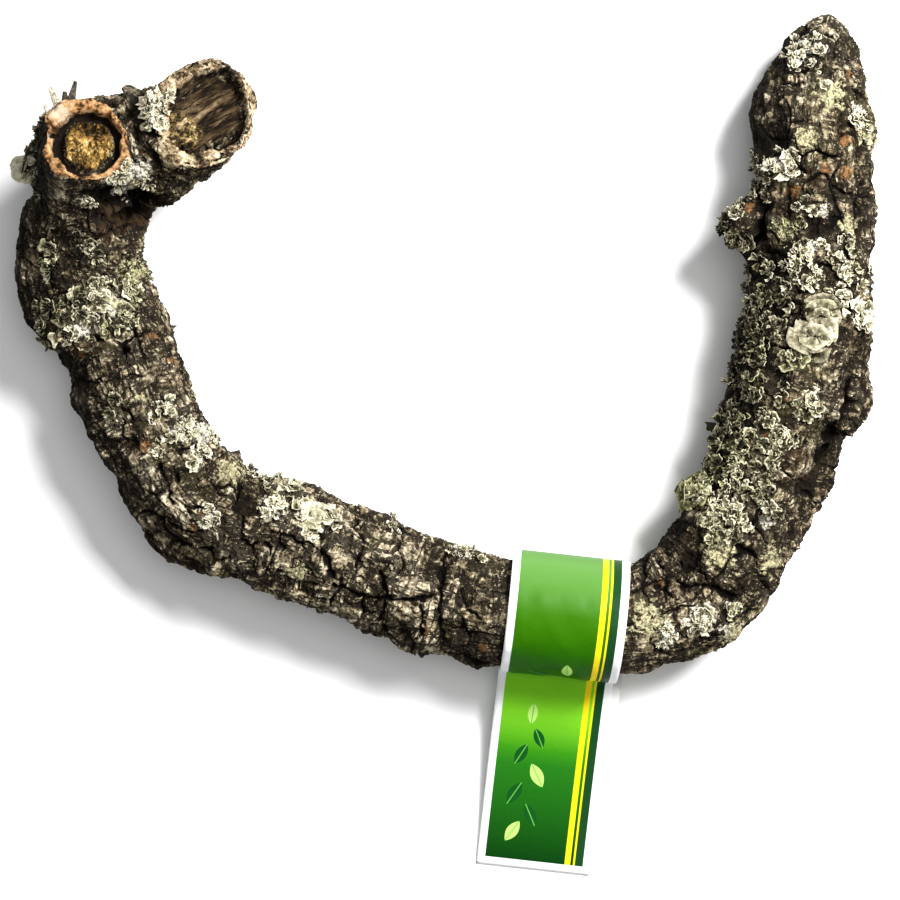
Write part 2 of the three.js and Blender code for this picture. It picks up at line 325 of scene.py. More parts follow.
# Chips and crumbs: size, step between them, width and blackness of the cracks round them, and seed.
CHIP_KINDS = [
    (np.array([3.9, 3.4, 3.4]), 0.6, 0.15, 0.4, 60),
    (np.array([1.9, 1.7, 1.7]), 0.4, 0.2, 0.3, 65),
]
CHIP_CRACK = 0.35
BRICK_SHADE, CHIP_SHADE, HOLLOW_PAINTED_SHADE = 0.22, 0.28, 0.45  # how much darker or lighter they are; in the hollows the darkening is painted shade
FIBRE_SIZE = np.array([8.0, 1.5, 1.5])
FIBRE_RISE, GRIT_RISE, SWELL_RISE = 0.6, 0.7, 1.3

# Cracks that stand out on the upper side, as lines of x and y.
DEEP_CRACKS = [
    [(-161, 47), (-152, 46), (-144, 47)], [(-132, 64), (-129, 58), (-130, 51), (-134, 46), (-135, 41)],
    [(-85, -13), (-86, -21), (-84, -27), (-85, -37), (-78, -42)],
    [(-50, -21), (-51, -34), (-49, -46), (-47, -55)],
    [(-65, -57), (-52, -58), (-41, -60), (-31, -63), (-18, -63), (-4, -62)],
    [(-26, -51), (-24, -63), (-26, -74), (-21, -80)], [(1, -39), (0, -46), (0, -59), (-1, -71), (0, -81)],
    [(98, -55), (108, -57), (115, -58), (123, -63)], [(115, -57), (117, -53), (120, -46), (125, -42)],
    [(100, -44), (109, -50), (114, -57)], [(124, -38), (130, -43), (135, -52), (138, -60)],
    [(151, 125), (159, 124), (168, 123)], [(168, 148), (169, 142), (175, 138)],
    [(-147, 105), (-136, 106), (-127, 102), (-120, 100)],
    [(-127, 148), (-125, 137), (-123, 131), (-118, 129)], [(-122, 123), (-117, 117), (-109, 115)],
    [(-119, -40), (-110, -42), (-101, -43), (-91, -47)],
]
THIN_CRACKS = [
    [(-159, 28), (-144, 31), (-135, 30), (-127, 32)], [(-136, 13), (-134, 6), (-129, 2)],
    [(-120, -6), (-118, -13), (-112, -24)], [(-115, -8), (-110, -18), (-106, -27)],
    [(-123, -29), (-112, -33), (-103, -36)], [(-95, -15), (-86, -17)], [(-67, -21), (-58, -22)],
    [(-78, -41), (-79, -52)], [(-74, -40), (-72, -53)], [(-68, -38), (-69, -54)], [(-60, -38), (-59, -47)],
    [(-18, -23), (-17, -38), (-19, -53)], [(-47, -62), (-47, -71)], [(-34, -64), (-34, -73)],
    [(-60, -58), (-59, -65)], [(8, -60), (11, -68), (16, -71)], [(-10, -63), (-8, -72), (-10, -80)],
    [(-35, -29), (-34, -40), (-36, -52)], [(8, -71), (11, -80), (8, -86)],
    [(86, -46), (84, -57), (88, -65)], [(91, -47), (93, -57), (99, -62)],
    [(91, -71), (98, -66), (105, -65)], [(74, -72), (84, -76)], [(131, -29), (137, -39), (138, -47)],
    [(112, -82), (121, -74), (132, -69)], [(86, -80), (91, -86)],
    [(133, -4), (140, -8), (147, -13), (152, -13)], [(151, 2), (156, 5), (160, 10)],
    [(151, 120), (153, 111)], [(164, 97), (170, 99), (174, 97)], [(166, 91), (174, 92)],
    [(144, 165), (150, 164), (153, 160)], [(153, 156), (145, 155)], [(176, 155), (180, 150)],
    [(137, 135), (146, 134), (150, 126)], [(137, 84), (150, 79), (163, 76)],
    [(130, 63), (146, 61), (163, 62)], [(108, -80), (117, -73)], [(177, 113), (176, 103), (178, 92)],
    [(-144, 94), (-127, 94)],
]
SLAB_GAPS = [
    [(172, 29), (170, 24), (172, 20), (170, 13), (166, 8), (164, 4)],
    [(165, 0), (160, -4), (157, -10), (153, -15), (149, -18)],
    [(-142, 104), (-134, 106), (-126, 105), (-120, 102)],
    [(134, 108), (135, 99), (133, 90), (128, 83)],
]
LINE_REACH = 5  # how far from its line a crack may wander
# Lines, depth and half width of the cracks, and of the slopes by which plates fall off towards them.
CRACK_KINDS = [(SLAB_GAPS, 8.0, 1.7), (DEEP_CRACKS, 3.4, 0.8), (THIN_CRACKS, 2.0, 0.5)]
CRACK_SLOPES = [(DEEP_CRACKS, 0.9, 2.6), (THIN_CRACKS, 0.35, 1.8)]

# Hollows on the upper side, painted darker as shade: x, y, reach and depth.
HOLLOWS = [
    (-131, 3, 4, 4), (-83, -23, 4.5, 3.5), (-108, -52, 5, 4), (-92, -55, 5, 4), (156, 94, 4.5, 4.5),
    (139, 130, 6.5, 5), (161, -3, 3, 4), (153, -16, 4, 5), (-140, 99, 6, 6.5), (-131, 99, 7, 9),
    (-123, 100, 5, 7), (-123, 133, 3, 4), (-16, -76, 4, 3), (147, 50, 4.5, 4), (104, -46, 4, 2.5),
    (169, 5, 2.5, 4),
]

# Knobs that stand out beyond the solids: x, y, reach and rise.
KNOBS = [
    (168, 185, 8, 3.5), (-132, 148, 5, 6.5), (-153, 21, 5, 3.5), (124, 95, 7, 3.0), (123, 88, 5, 2.5),
    (-120, 146, 5, 1.5),
]

# Places that are lighter than the bark round them, or darker if negative: x, y, reach and how much.
LIGHT_PLATES = [
    (2, -66, 7, 0.3), (-62, -46, 10, 0.22), (-91, -44, 7, 0.2), (-42, -44, 8, 0.15), (117, -43, 11, 0.2),
    (150, -2, 9, 0.15), (160, 22, 9, 0.2), (88, -70, 10, 0.2), (-128, 34, 8, 0.15), (-108, -30, 9, 0.12),
    (168, 110, 7, 0.15), (160, 140, 9, 0.15), (150, 45, 55, -0.14), (112, -48, 34, -0.12),
    (-30, -55, 45, 0.1), (-108, -30, 32, 0.14), (-130, 30, 30, 0.11), (-100, -45, 12, 0.2),
    (-116, -26, 10, 0.12), (-24, -40, 8, 0.1), (170, 92, 8, 0.15), (172, 68, 9, 0.12),
]

# Patches of colour on the upper side: x, y and reach.
PALE_CRUST = [
    (108, -71, 9), (95, -80, 5), (123, -67, 5), (155, 172, 6), (150, 166, 5), (176, 144, 5), (-138, 62, 8),
    (-152, 51, 6), (-112, 8, 6), (-102, 7, 7), (-104, -2, 5), (-98, -28, 5), (-73, -25, 7), (-56, -28, 7),
    (-133, 110, 7), (-126, 116, 7), (-119, 136, 7), (8, -43, 5), (143, 121, 6), (154, 85, 5), (178, 57, 6),
    (120, -76, 5), (160, 100, 5), (136, -30, 5),
]
YELLOW_CRUST = [
    (163, 150, 10), (153, 130, 8), (181, 134, 8), (170, 94, 7), (145, 92, 7), (117, -43, 12), (139, -46, 9),
    (86, -72, 11), (-90, -9, 8), (-132, 76, 8), (-134, 60, 8), (105, -17, 9), (112, -8, 8), (-128, 22, 4),
    (124, -78, 8), (-62, -52, 7),
]
ORANGE_CHIPS = [
    (-125, 2, 4), (-152, 41, 3), (-115, 38, 3), (-123, 48, 3), (-101, -27, 2.5), (-105, -33, 2.5),
    (169, 131, 5), (169, 117, 5), (160, 117, 4), (148, 109, 4), (130, 103, 4), (173, 160, 3), (137, 5, 3),
    (143, 22, 3), (92, -57, 3), (-7, -76, 3.5), (8, -43, 3), (17, -84, 3),
]
BROWN_WOOD = [
    (148, -6, 12), (-138, 99, 10), (-130, 98, 9), (-141, 90, 6), (-152, 42, 7), (137, 128, 5),
    (158, 115, 8),
]


def grow_bark():
    """One skin over the limb and its stubs, fine enough to carry the cracks of old cork."""
    nodes = ("main_limb", "round_stub", "hollow_stub")
    copies = [new_object(node + "_bark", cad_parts[node].data.copy()) for node in nodes]
    for stub in copies[1:]:
        edit(stub, bpy.ops.mesh.remove_doubles, threshold=SAME_POINT * MM)
        apply(stub, "DISPLACE", strength=STUB_OVERLAP * MM, mid_level=0.0)
    only(*copies)
    bpy.ops.object.join()
    bark = bpy.context.view_layer.objects.active
    bark.name = "bark"
    edit(bark, bpy.ops.mesh.remove_doubles, threshold=SAME_POINT * MM)
    apply(bark, "REMESH", mode="VOXEL", voxel_size=VOXEL * MM)
    bark.data.materials.clear()
    return bark


def limb_places(points):
    """Which limb each point belongs to, and its place along, above and beside that limb's middle line."""
    found = [axis.places(points) for axis in AXES]
    owner = np.argmin([share for _, share in found], axis=0)
    places = np.choose(owner[:, None], [place for place, _ in found])
    return owner, places


def bricks(along, angle, kind, salt):
    """Distance in millimetres to the nearest crack of a brick pattern, and a number for the brick."""
    strips = kind["strips"]
    around = angle / (2 * math.pi) * strips
    strip = np.floor(around)
    to_strip = np.minimum(around - strip, strip + 1 - around) * GIRTH / strips
    strip = strip % strips
    zero = np.zeros(len(along))
    place = along / kind["length"] + hashed(strip, zero, zero, salt) * 7
    row = np.floor(place)
    first, second, number = np.full(len(along), FAR), np.full(len(along), FAR), zero
    for shift in (-1, 0, 1):
        seed = row + shift + 0.15 + 0.7 * hashed(row + shift, strip, zero, salt + 1)
        distance = np.abs(place - seed)
        closer = distance < first
        second = np.where(closer, first, np.minimum(second, distance))
        number = np.where(closer, hashed(row + shift, strip, zero, salt + 2), number)
        first = np.where(closer, distance, first)
    to_row = (second - first) / 2 * kind["length"]
    return np.minimum(to_strip, to_row), number


def line_cracks(points, normals, lines, width):
    """1 on the lines as seen from above, falling to 0 away from them, on the upper side only."""
    wander = drift(points / 6, (91, 92)) * 1.9 + drift(points / 2, (93, 94)) * 1.2
    flat = points[:, :2] + wander
    wide = width * np.clip(1 + 1.2 * lumps(points / 5, 95), 0.2, 2.2)
    found = np.zeros(len(points))
    for line in lines:
        corners = np.array(line, float)
        low, high = corners.min(axis=0) - LINE_REACH, corners.max(axis=0) + LINE_REACH
        near = np.flatnonzero(np.all((flat > low) & (flat < high), axis=1) & (normals[:, 2] > -0.1))
        for start, end in zip(corners, corners[1:]):
            along = np.clip((flat[near] - start) @ (end - start) / np.sum((end - start) ** 2), 0, 1)
            away = np.linalg.norm(flat[near] - start - along[:, None] * (end - start), axis=1)
            found[near] = np.maximum(found[near], bell(away, wide[near]))
    return found


def flake_share(owner, along):
    """How much of the bark at each point is long flakes and not bricks."""
    flaky = np.zeros(len(along))
    for start, end, share in FLAKE_STRETCHES:
        begun = smoothstep(start - FLAKE_FADE, start + FLAKE_FADE, along)
        ended = smoothstep(end - FLAKE_FADE, end + FLAKE_FADE, along)
        flaky = np.maximum(flaky, begun * (1 - ended) * share * (owner == LIMB))
    return flaky


def bark_relief(points, normals, owner, places):
    """Height of the bark in millimetres, how much of a crack each point is, and its tone from 0 to 1, with
    painted shade in the hollows.
    """
    warp = sum(drift(places / size, salts) * strength for size, strength, salts in WARPS)
    bent = places + warp
    along = bent[:, 0] + owner * STUB_START
    angle = np.arctan2(bent[:, 2], bent[:, 1]) + TWIST * bent[:, 0]
    flaky = flake_share(owner, places[:, 0])
    height = SWELL_RISE * lumps(places / 21, 3)
    cracks = np.zeros(len(places))
    tone = np.full(len(places), 0.5)
    for kind, share, salt in ((BRICKS, 1 - flaky, 20), (FLAKES, flaky, 30), (CRAZING, CRAZED_SHARE, 40)):
        distance, number = bricks(along, angle, kind, salt)
        opened = np.clip(0.45 + 0.9 * lumps(places / 12, salt + 7), 0, 1) * share
        crack = bell(distance, kind["width"]) * opened
        height += (number - 0.5) * kind["step"] * share - crack * kind["crack"]
        cracks = np.maximum(cracks, crack * min(1.0, kind["crack"] / FULL_CRACK))
        tone += (number - 0.5) * share * BRICK_SHADE
    for size, step, width, share, salt in CHIP_KINDS:
        distance, number = plates((places + warp * 0.5) / size, salt)
        wall = bell(distance, width)
        height += (number - 0.5) * step - wall * CHIP_CRACK
        cracks = np.maximum(cracks, share * wall)
        tone += (number - 0.5) * CHIP_SHADE
    height += FIBRE_RISE * lumps(bent / FIBRE_SIZE, 50) + GRIT_RISE * rough_lumps(places / 5, 3, 51)
    for lines, depth, width in CRACK_KINDS:
        line = line_cracks(points, normals, lines, width)
        height -= depth * line
        cracks = np.maximum(cracks, line)
    for lines, depth, width in CRACK_SLOPES:
        height -= depth * line_cracks(points, normals, lines, width)
    # Hollows sink into the bark and are painted darker, a painted shade.
    for x, y, reach, depth in HOLLOWS:
        dip = mound(points, x, y, reach) * smoothstep(-0.2, 0.3, normals[:, 2])
        height -= depth * dip
        tone -= HOLLOW_PAINTED_SHADE * dip
    for x, y, reach, lighter in LIGHT_PLATES:
        tone += lighter * mound(points, x, y, reach) * (normals[:, 2] > 0)
    for x, y, reach, rise in KNOBS:
        height += rise * mound(points, x, y, reach)
    return height, cracks, np.clip(tone, 0, 1)


def patch_mask(points, normals, patches):
    """1 in the middle of each patch on the upper side, falling to 0 beyond its reach."""
    mask = np.zeros(len(points))
    for x, y, reach in patches:
        away = np.hypot(points[:, 0] - x, points[:, 1] - y)
        mask = np.maximum(mask, 1 - away / (1.4 * reach))
    return np.clip(mask, 0, 1) * smoothstep(-0.3, 0.3, normals[:, 2])


def ring_places(across, shift, rim):
    """Distance from the middle of a sawn face, the direction, and the radii of its rings that way."""
    x, y = across[:, 0] + shift, across[:, 1]
    table = np.array(rim, float)
    degrees = np.degrees(np.arctan2(y, x))
    radii = [np.interp(degrees, table[:, 0], table[:, k], period=360) for k in range(1, table.shape[1])]
    return np.hypot(x, y), np.radians(degrees), radii


def ragged_edge(across, broad, fine, salts):
    """How far the edges of a sawn face wander in and out, in millimetres."""
    ring = np.stack([across[:, 0] / 4, across[:, 1] / 4, np.zeros(len(across))], axis=1)
    return broad * lumps(ring, salts[0]) + fine * lumps(ring * 2.5, salts[1])


def pressed(points, cut, across, on_cut, level):
    """Points of a sawn face moved to a level above its cut, along the way that it faces."""
    move = np.where(on_cut, level - across[:, 2], 0)
    return points + move[:, None] * unit(cut[1])


def shape_round_cut(points, owner):
    """The round stub's end: a cork rim, a deep uneven gap, and a rough core with spokes of splits."""
    across = cut_places(points, ROUND_CUT)
    away, angle, (outer, inner, core) = ring_places(across, ROUND_SHIFT, ROUND_RIM)
    uneven = ragged_edge(across, 0.8, 0.5, (61, 63))
    rim = smoothstep(-0.5, 0.7, away - inner - uneven)
    heart = 1 - smoothstep(-0.7, 0.7, away - core + uneven)
    grit = rough_lumps(across / 2.4, 2, 62)
    turned = np.stack([1.7 * np.cos(angle), 1.7 * np.sin(angle), away / 7], axis=1)
    spokes = bell(lumps(turned, 64), 0.14) * smoothstep(1.5, 5, away)
    notch = bell(np.degrees(angle) - 166, 7)
    level = -ROUND_GAP + rim * (ROUND_GAP + 0.9 * grit - 0.8 * uneven - 5 * notch)
    level += heart * (5.2 + 1.6 * grit - 1.7 * spokes - 2 * bell(away, 1.3))
    on_cut = (across[:, 2] > -9) & (away < outer - 1.0) & (owner == ROUND_STUB)
    return pressed(points, ROUND_CUT, across, on_cut, level)


def shape_hollow_cut(points, owner):
    """A ragged cork rim round splintered wood, with gaps along two sides of the wood."""
    across = cut_places(points, HOLLOW_CUT)
    away, angle, (outer, inner) = ring_places(across, HOLLOW_SHIFT, HOLLOW_RIM)
    cos, sin = math.cos(HOLLOW_GRAIN), math.sin(HOLLOW_GRAIN)
    long_way = across[:, 0] * cos + across[:, 1] * sin
    cross_way = across[:, 1] * cos - across[:, 0] * sin
    uneven = ragged_edge(across, 0.9, 0.6, (73, 74))
    rim = smoothstep(-0.5, 0.8, away - inner - uneven)
    grain = np.stack([long_way / 15, cross_way / 2.4, np.zeros(len(points))], axis=1)
    grit = rough_lumps(across / 2.4, 2, 75)
    crumbs = np.exp(-((across[:, 0] + 11) ** 2 + (across[:, 1] + 8) ** 2) / 60)
    wood = -7.5 + 1.7 * rough_lumps(grain, 3, 71) + 1.3 * lumps(across / 8, 72) + crumbs * (2.5 + 1.5 * grit)
    gaps = bell(np.degrees(angle) + 75, 50) + bell(np.degrees(angle) - 128, 28)
    wood -= 5 * np.clip(gaps, 0, 1) * bell(away - inner + 1.6, 1.5)
    level = wood + rim * (0.9 * grit - 1.2 * np.clip(uneven, 0, 2) - wood)
    on_cut = (across[:, 2] > -16) & (away < outer - 1.2) & (owner == HOLLOW_STUB)
    return pressed(points, HOLLOW_CUT, across, on_cut, level)


def settle_stubs(points):
    """Draws the stubs' ends to the ragged outline that they have from above."""
    across = cut_places(points, ROUND_CUT)
    away, _, (outer, _, _) = ring_places(across, ROUND_SHIFT, ROUND_RIM)
    end = smoothstep(-18, -5, across[:, 2]) * (away < 27) / ROUND_END
    moved = points.copy()
    moved[:, 0] += ((across[:, 0] + ROUND_SHIFT) * (outer - ROUND_END)) * end - ROUND_SHIFT * end * ROUND_END
    moved[:, 1] += across[:, 1] * (outer - ROUND_END) * end
    hollow_end = smoothstep(-24, -4, cut_places(points, HOLLOW_CUT)[:, 2])
    offset = points - np.array(HOLLOW_CUT[0])
    hollow_end *= (np.hypot(offset[:, 0], offset[:, 1]) < 40) * smoothstep(-34, -24, offset[:, 0])
    moved[:, 0] -= (2.2 + 0.1 * offset[:, 0]) * hollow_end
    moved[:, 1] += np.where(offset[:, 1] < 0, 0.14, -0.03) * offset[:, 1] * hollow_end
    return moved


def beside_cuts(points):
    """1 on the sawn faces and round their edges, 0 on the bark away from them."""
    near_cut = np.zeros(len(points))
    for cut in (ROUND_CUT, HOLLOW_CUT):
        across = cut_places(points, cut)
        inside = np.hypot(across[:, 0], across[:, 1]) < 1.6 * cut[2]
        near_cut = np.maximum(near_cut, inside * smoothstep(-13, -8, across[:, 2]))
    return near_cut


def carve_bark(bark):
    """Moves the skin's points to the bark's height, and keeps what the materials need to know of it."""
    mesh = bark.data
    edges = read(mesh.edges, "vertices", 2, np.int64)
    points = settle_stubs(read(mesh.vertices, "co", 3) / MM)
    near_cut = beside_cuts(points)
    points = smoothed(points, edges, 1 - 0.97 * near_cut)
    set_points(mesh, points)
    smooth_normals = normals_of(mesh)
    owner, places = limb_places(points)
    height, cracks, tone = bark_relief(points, smooth_normals, owner, places)
    shade_side_facing = smooth_normals @ np.array(PAINTED_SHADE_SIDE)
    from_tag = np.hypot(points[:, 0] - TAG_CENTRE[0], points[:, 1] - TAG_CENTRE[1])
    calm = (1 - 0.6 * near_cut) * (0.35 + 0.65 * smoothstep(33, 42, from_tag))
    calm = calm * (1 - 0.4 * smoothstep(0.45, 0.8, shade_side_facing))
    points = points + smooth_normals * (height * calm)[:, None]
    points = shape_round_cut(points, owner)
    points = shape_hollow_cut(points, owner)
    points[:, 2] = np.maximum(points[:, 2], 0.0)
    set_points(mesh, points)
    normals = normals_of(mesh)
    store(mesh, "bark_place", places * MM)
    store(mesh, "crack", cracks)
    store(mesh, "height", np.clip(height / 6 + 0.5, 0, 1))
    store(mesh, "tone", tone)
    lichen_beds = [patch[:3] for patch in LICHEN_PATCHES if patch[3] > 4]
    patches = {
        "pale": PALE_CRUST, "yellow": YELLOW_CRUST, "orange": ORANGE_CHIPS, "brown": BROWN_WOOD,
        "shaded": lichen_beds,
    }
    for name, spots in patches.items():
        store(mesh, name, patch_mask(points, normals, spots))
    store(mesh, "painted_shade_side", np.clip(shade_side_facing, 0, 1))
    on_round = (owner == ROUND_STUB)[:, None]
    across = np.where(on_round, cut_places(points, ROUND_CUT), cut_places(points, HOLLOW_CUT))
    store(mesh, "cut_place", across * MM)
    return points, smooth_normals, owner, places


def part_bark(bark, owner, places):
    """Parts the skin into lengths of the limb and the two stubs, and closes each where it was parted."""
    mesh = bark.data
    label = np.where(owner == LIMB, np.searchsorted(SEAMS, places[:, 0]), owner + len(SEAMS))
    names = LIMB_LENGTHS + ["round_stub_bark", "hollow_stub_bark"]
    for name in names:
        mesh.materials.append(bpy.data.materials.new(name))
    mesh.polygons.foreach_set("material_index", label[first_corners(mesh)].astype(np.int32))
    edit(bark, bpy.ops.mesh.separate, type="MATERIAL")
    pieces = {}
    for obj in bpy.context.selected_objects:
        name = obj.data.materials[obj.data.polygons[0].material_index].name
        edit(obj, bpy.ops.mesh.fill_holes, sides=0)
        bpy.ops.object.shade_smooth()
        sharpen_caps(obj.data)
        obj.data.materials.clear()
        obj.name = obj.data.name = name
        pieces[name] = obj
    for name in names:
        bpy.data.materials.remove(bpy.data.materials[name])
    return pieces


def sharpen_caps(mesh):
    """Sharp edges round the faces that close a piece, so that they don't bend the light on its bark."""
    sharp = np.zeros(len(mesh.edges), bool)
    for face in mesh.polygons:
        if face.loop_total > 4:
            for corner in face.loop_indices:
                sharp[mesh.loops[corner].edge_index] = True
    attribute = mesh.attributes.get("sharp_edge") or mesh.attributes.new("sharp_edge", "BOOLEAN", "EDGE")
    attribute.data.foreach_set("value", sharp)


# Materials

class Nodes:
    """Short words for building a node tree."""

    def __init__(self, tree):
        self.tree = tree

    def new(self, kind, inputs=None, **settings):
        """A node with these settings, and with these values or links at its inputs."""
        node = self.tree.nodes.new(kind)
        for key, value in settings.items():
            setattr(node, key, value)
        for key, value in (inputs or {}).items():
            self.put(node.inputs[key], value)
        return node

    def put(self, socket, value):
        if isinstance(value, bpy.types.NodeSocket):
            self.tree.links.new(value, socket)
        elif value is not None:
            socket.default_value = value

    def attribute(self, name, output="Fac"):
        return self.new("ShaderNodeAttribute", attribute_name=name).outputs[output]

    def object_place(self):
        return self.new("ShaderNodeTexCoord").outputs["Object"]

    def axes(self, place):
        return self.new("ShaderNodeSeparateXYZ", {0: place}).outputs

    def math(self, operation, a, b=None, clamp=False):
        return self.new("ShaderNodeMath", {0: a, 1: b}, operation=operation, use_clamp=clamp).outputs[0]

    def vector(self, operation, *inputs):
        node = self.new("ShaderNodeVectorMath", dict(enumerate(inputs)), operation=operation)
        return node.outputs["Value" if operation in ("LENGTH", "DISTANCE") else "Vector"]

    def total(self, *parts):
        """The sum of values, each given with its share."""
        result = None
        for value, share in parts:
            product = self.math("MULTIPLY", value, share)
            result = product if result is None else self.math("ADD", result, product)
        return result

    def shifted(self, value, noise, amount):
        """A value moved up and down by noise."""
        return self.math("ADD", value, self.math("MULTIPLY", self.math("SUBTRACT", noise, 0.5), amount))

    def ramp(self, value, stops):
        """A colour for each value; stops are (place, colour)."""
        node = self.new("ShaderNodeValToRGB", {0: value})
        elements = node.color_ramp.elements
        while len(elements) < len(stops):
            elements.new(0.5)
        for element, (place, colour) in zip(elements, stops):
            element.position = place
            element.color = (*colour, 1)
        return node.outputs[0]

    def mix(self, share, a, b, blend="MIX"):
        a, b = ((*value, 1) if isinstance(value, tuple) else value for value in (a, b))
        inputs = {"Factor": share, 6: a, 7: b}
        return self.new("ShaderNodeMix", inputs, data_type="RGBA", blend_type=blend).outputs[2]

    def cover(self, colour, mask, share, shade):
        """A colour with some of a shade over it where the mask is."""
        return self.mix(self.math("MULTIPLY", mask, share), colour, shade)

    def noise(self, place, scale, detail=4.0, roughness=0.6, output="Fac"):
        inputs = {"Vector": place, "Scale": scale, "Detail": detail, "Roughness": roughness}
        return self.new("ShaderNodeTexNoise", inputs).outputs[output]

    def stretch(self, place, scale=None, turn=None):
        inputs = {"Vector": place, "Rotation": turn, "Scale": scale}
        return self.new("ShaderNodeMapping", inputs).outputs["Vector"]

    def step(self, value, low, high):
        """0 below low, 1 above high, smooth between."""
        inputs = {"Value": value, "From Min": low, "From Max": high}
        return self.new("ShaderNodeMapRange", inputs, interpolation_type="SMOOTHSTEP").outputs["Result"]

    def line(self, value, level, outer, inner):
        """1 where a value is within inner of a level, 0 where it is beyond outer."""
        away = self.math("ABSOLUTE", self.math("SUBTRACT", value, level))
        return self.step(away, outer, inner)

    def bump(self, height, strength, distance):
        inputs = {"Height": height, "Strength": strength, "Distance": distance}
        return self.new("ShaderNodeBump", inputs).outputs["Normal"]

    def finish(self, colour, roughness, specular=None, normal=None):
        """Gives the material its surface."""
        inputs = self.tree.nodes["Principled BSDF"].inputs
        self.put(inputs["Base Color"], colour)
        self.put(inputs["Roughness"], roughness)
        self.put(inputs["Specular IOR Level"], specular)
        self.put(inputs["Normal"], normal)


def new_material(name):
    material = bpy.data.materials.new(name)
    material.use_nodes = True
    return material, Nodes(material.node_tree)


def new_group(name, inputs, outputs):
    """A node group that gives numbers: words for its nodes, what it is given, and what it gives."""
    tree = bpy.data.node_groups.new(name, "ShaderNodeTree")
    for socket, kind in inputs.items():
        tree.interface.new_socket(socket, in_out="INPUT", socket_type="NodeSocket" + kind)
    for socket in outputs:
        tree.interface.new_socket(socket, in_out="OUTPUT", socket_type="NodeSocketFloat")
    nodes = Nodes(tree)
    return nodes, nodes.new("NodeGroupInput").outputs, nodes.new("NodeGroupOutput").inputs


def patch_group():
    """Turns a soft patch into a ragged one: a mask with broken edges."""
    sockets = {"Patch": "Float", "Place": "Vector", "Scale": "Float"}
    nodes, given, gives = new_group("ragged_patch", sockets, ["Mask"])
    grain = nodes.noise(given["Place"], given["Scale"], 5.0, 0.65)
    reached = nodes.total((given["Patch"], 0.7), (grain, 1.5))
    there = nodes.step(given["Patch"], 0.0, 0.12)
    nodes.put(gives["Mask"], nodes.math("MULTIPLY", nodes.step(reached, 1.14, 1.2), there))
    return nodes.tree


def ragged(nodes, group, name, place, scale):
    inputs = {"Patch": nodes.attribute(name), "Place": place, "Scale": scale}
    return nodes.new("ShaderNodeGroup", inputs, node_tree=group).outputs["Mask"]


def bark_material():
    """Grey-brown cork, crumbly and speckled, with black cracks, crusts of lichen and orange chips; painted
    shade darkens the cracks and the side turned from the light.
    """
    material, nodes = new_material("cork_bark")
    group = patch_group()
    place = nodes.object_place()
    bend = nodes.noise(place, 75, 2, 0.5, "Color")
    limb = nodes.vector("MULTIPLY_ADD", bend, (6 * MM,) * 3, nodes.attribute("bark_place", "Vector"))
    fibres = nodes.noise(nodes.stretch(limb, (0.3, 1, 1)), 640, 2, 0.65)
    weave = nodes.noise(nodes.stretch(limb, (1, 0.3, 0.3)), 600, 2, 0.65)
    sand = nodes.noise(place, 820, 1.5, 0.65)
    blotch = nodes.noise(place, 150, 3, 0.6)
    height, tone = nodes.attribute("height"), nodes.attribute("tone")
    # Darker where the bark lies low and lighter where it stands high, mixed with its grain and tone.
    lightness = nodes.total((height, 0.4), (sand, 0.55), (fibres, 0.9), (weave, 0.8), (blotch, 0.5), (tone, 0.7))
    colour = nodes.ramp(nodes.math("SUBTRACT", lightness, 1.36), [
        (0.16, (0.004, 0.003, 0.002)), (0.36, (0.040, 0.029, 0.016)), (0.52, (0.135, 0.104, 0.061)),
        (0.68, (0.29, 0.235, 0.148)), (0.86, (0.62, 0.54, 0.38)),
    ])
    waves = [
        nodes.noise(nodes.stretch(limb, stretch), scale, 3, 0.55)
        for stretch, scale in (((1, 0.22, 0.22), 210), ((0.2, 1, 1), 230))
    ]
    hairs = nodes.math("MAXIMUM", *(nodes.line(wave, 0.5, 0.07, 0.03) for wave in waves))
    hairs = nodes.math("MULTIPLY", hairs, nodes.step(nodes.noise(place, 80, 3, 0.6), 0.33, 0.46))
    colour = nodes.cover(colour, hairs, 0.94, (0.010, 0.0075, 0.005))
    flecks = nodes.step(nodes.noise(place, 950, 2, 0.5), 0.65, 0.69)
    flecks = nodes.math("MULTIPLY", flecks, nodes.step(tone, 0.22, 0.45))
    colour = nodes.cover(colour, flecks, 0.5, (0.62, 0.52, 0.36))
    pits = nodes.step(nodes.noise(nodes.stretch(place, (1.1, 1, 0.93)), 780, 2, 0.5), 0.4, 0.35)
    colour = nodes.cover(colour, pits, 0.85, (0.007, 0.005, 0.0035))
    green = nodes.step(nodes.noise(place, 45, 4, 0.6), 0.54, 0.68)
    colour = nodes.cover(colour, green, 0.12, (0.17, 0.155, 0.06))
    colour = nodes.cover(colour, ragged(nodes, group, "shaded", place, 260), 0.7, (0.016, 0.013, 0.008))
    for name, scale, share, shade, grain in (
        ("brown", 180, 0.75, (0.040, 0.023, 0.011), fibres),
        ("pale", 330, 0.95, (0.62, 0.585, 0.47), sand),
        ("yellow", 300, 0.9, (0.50, 0.455, 0.265), sand),
        ("orange", 320, 0.65, (0.30, 0.145, 0.055), fibres),
    ):
        dark = tuple(0.25 * part for part in shade)
        grainy = nodes.mix(nodes.step(grain, 0.38, 0.54), dark, shade)
        colour = nodes.cover(colour, ragged(nodes, group, name, place, scale), share, grainy)
    # Cracks are painted near-black: partly their own dark colour, partly painted shade in them.
    cracks = nodes.total((nodes.attribute("crack"), 1.0), (sand, 0.5))
    colour = nodes.mix(nodes.step(cracks, 0.5, 0.9), colour, (0.004, 0.003, 0.0025))
    # Painted shade: bark turned away from the light is painted near-black.
    side_shade = nodes.step(nodes.attribute("painted_shade_side"), 0.25, 0.72)
    colour = nodes.cover(colour, side_shade, 0.9, (0.006, 0.005, 0.0035))
    relief = nodes.total((fibres, 1.0), (weave, 1.0), (sand, 0.7), (hairs, -0.4))
    nodes.finish(colour, 0.95, 0.06, nodes.bump(relief, 1.0, 1.0 * MM))
    return material


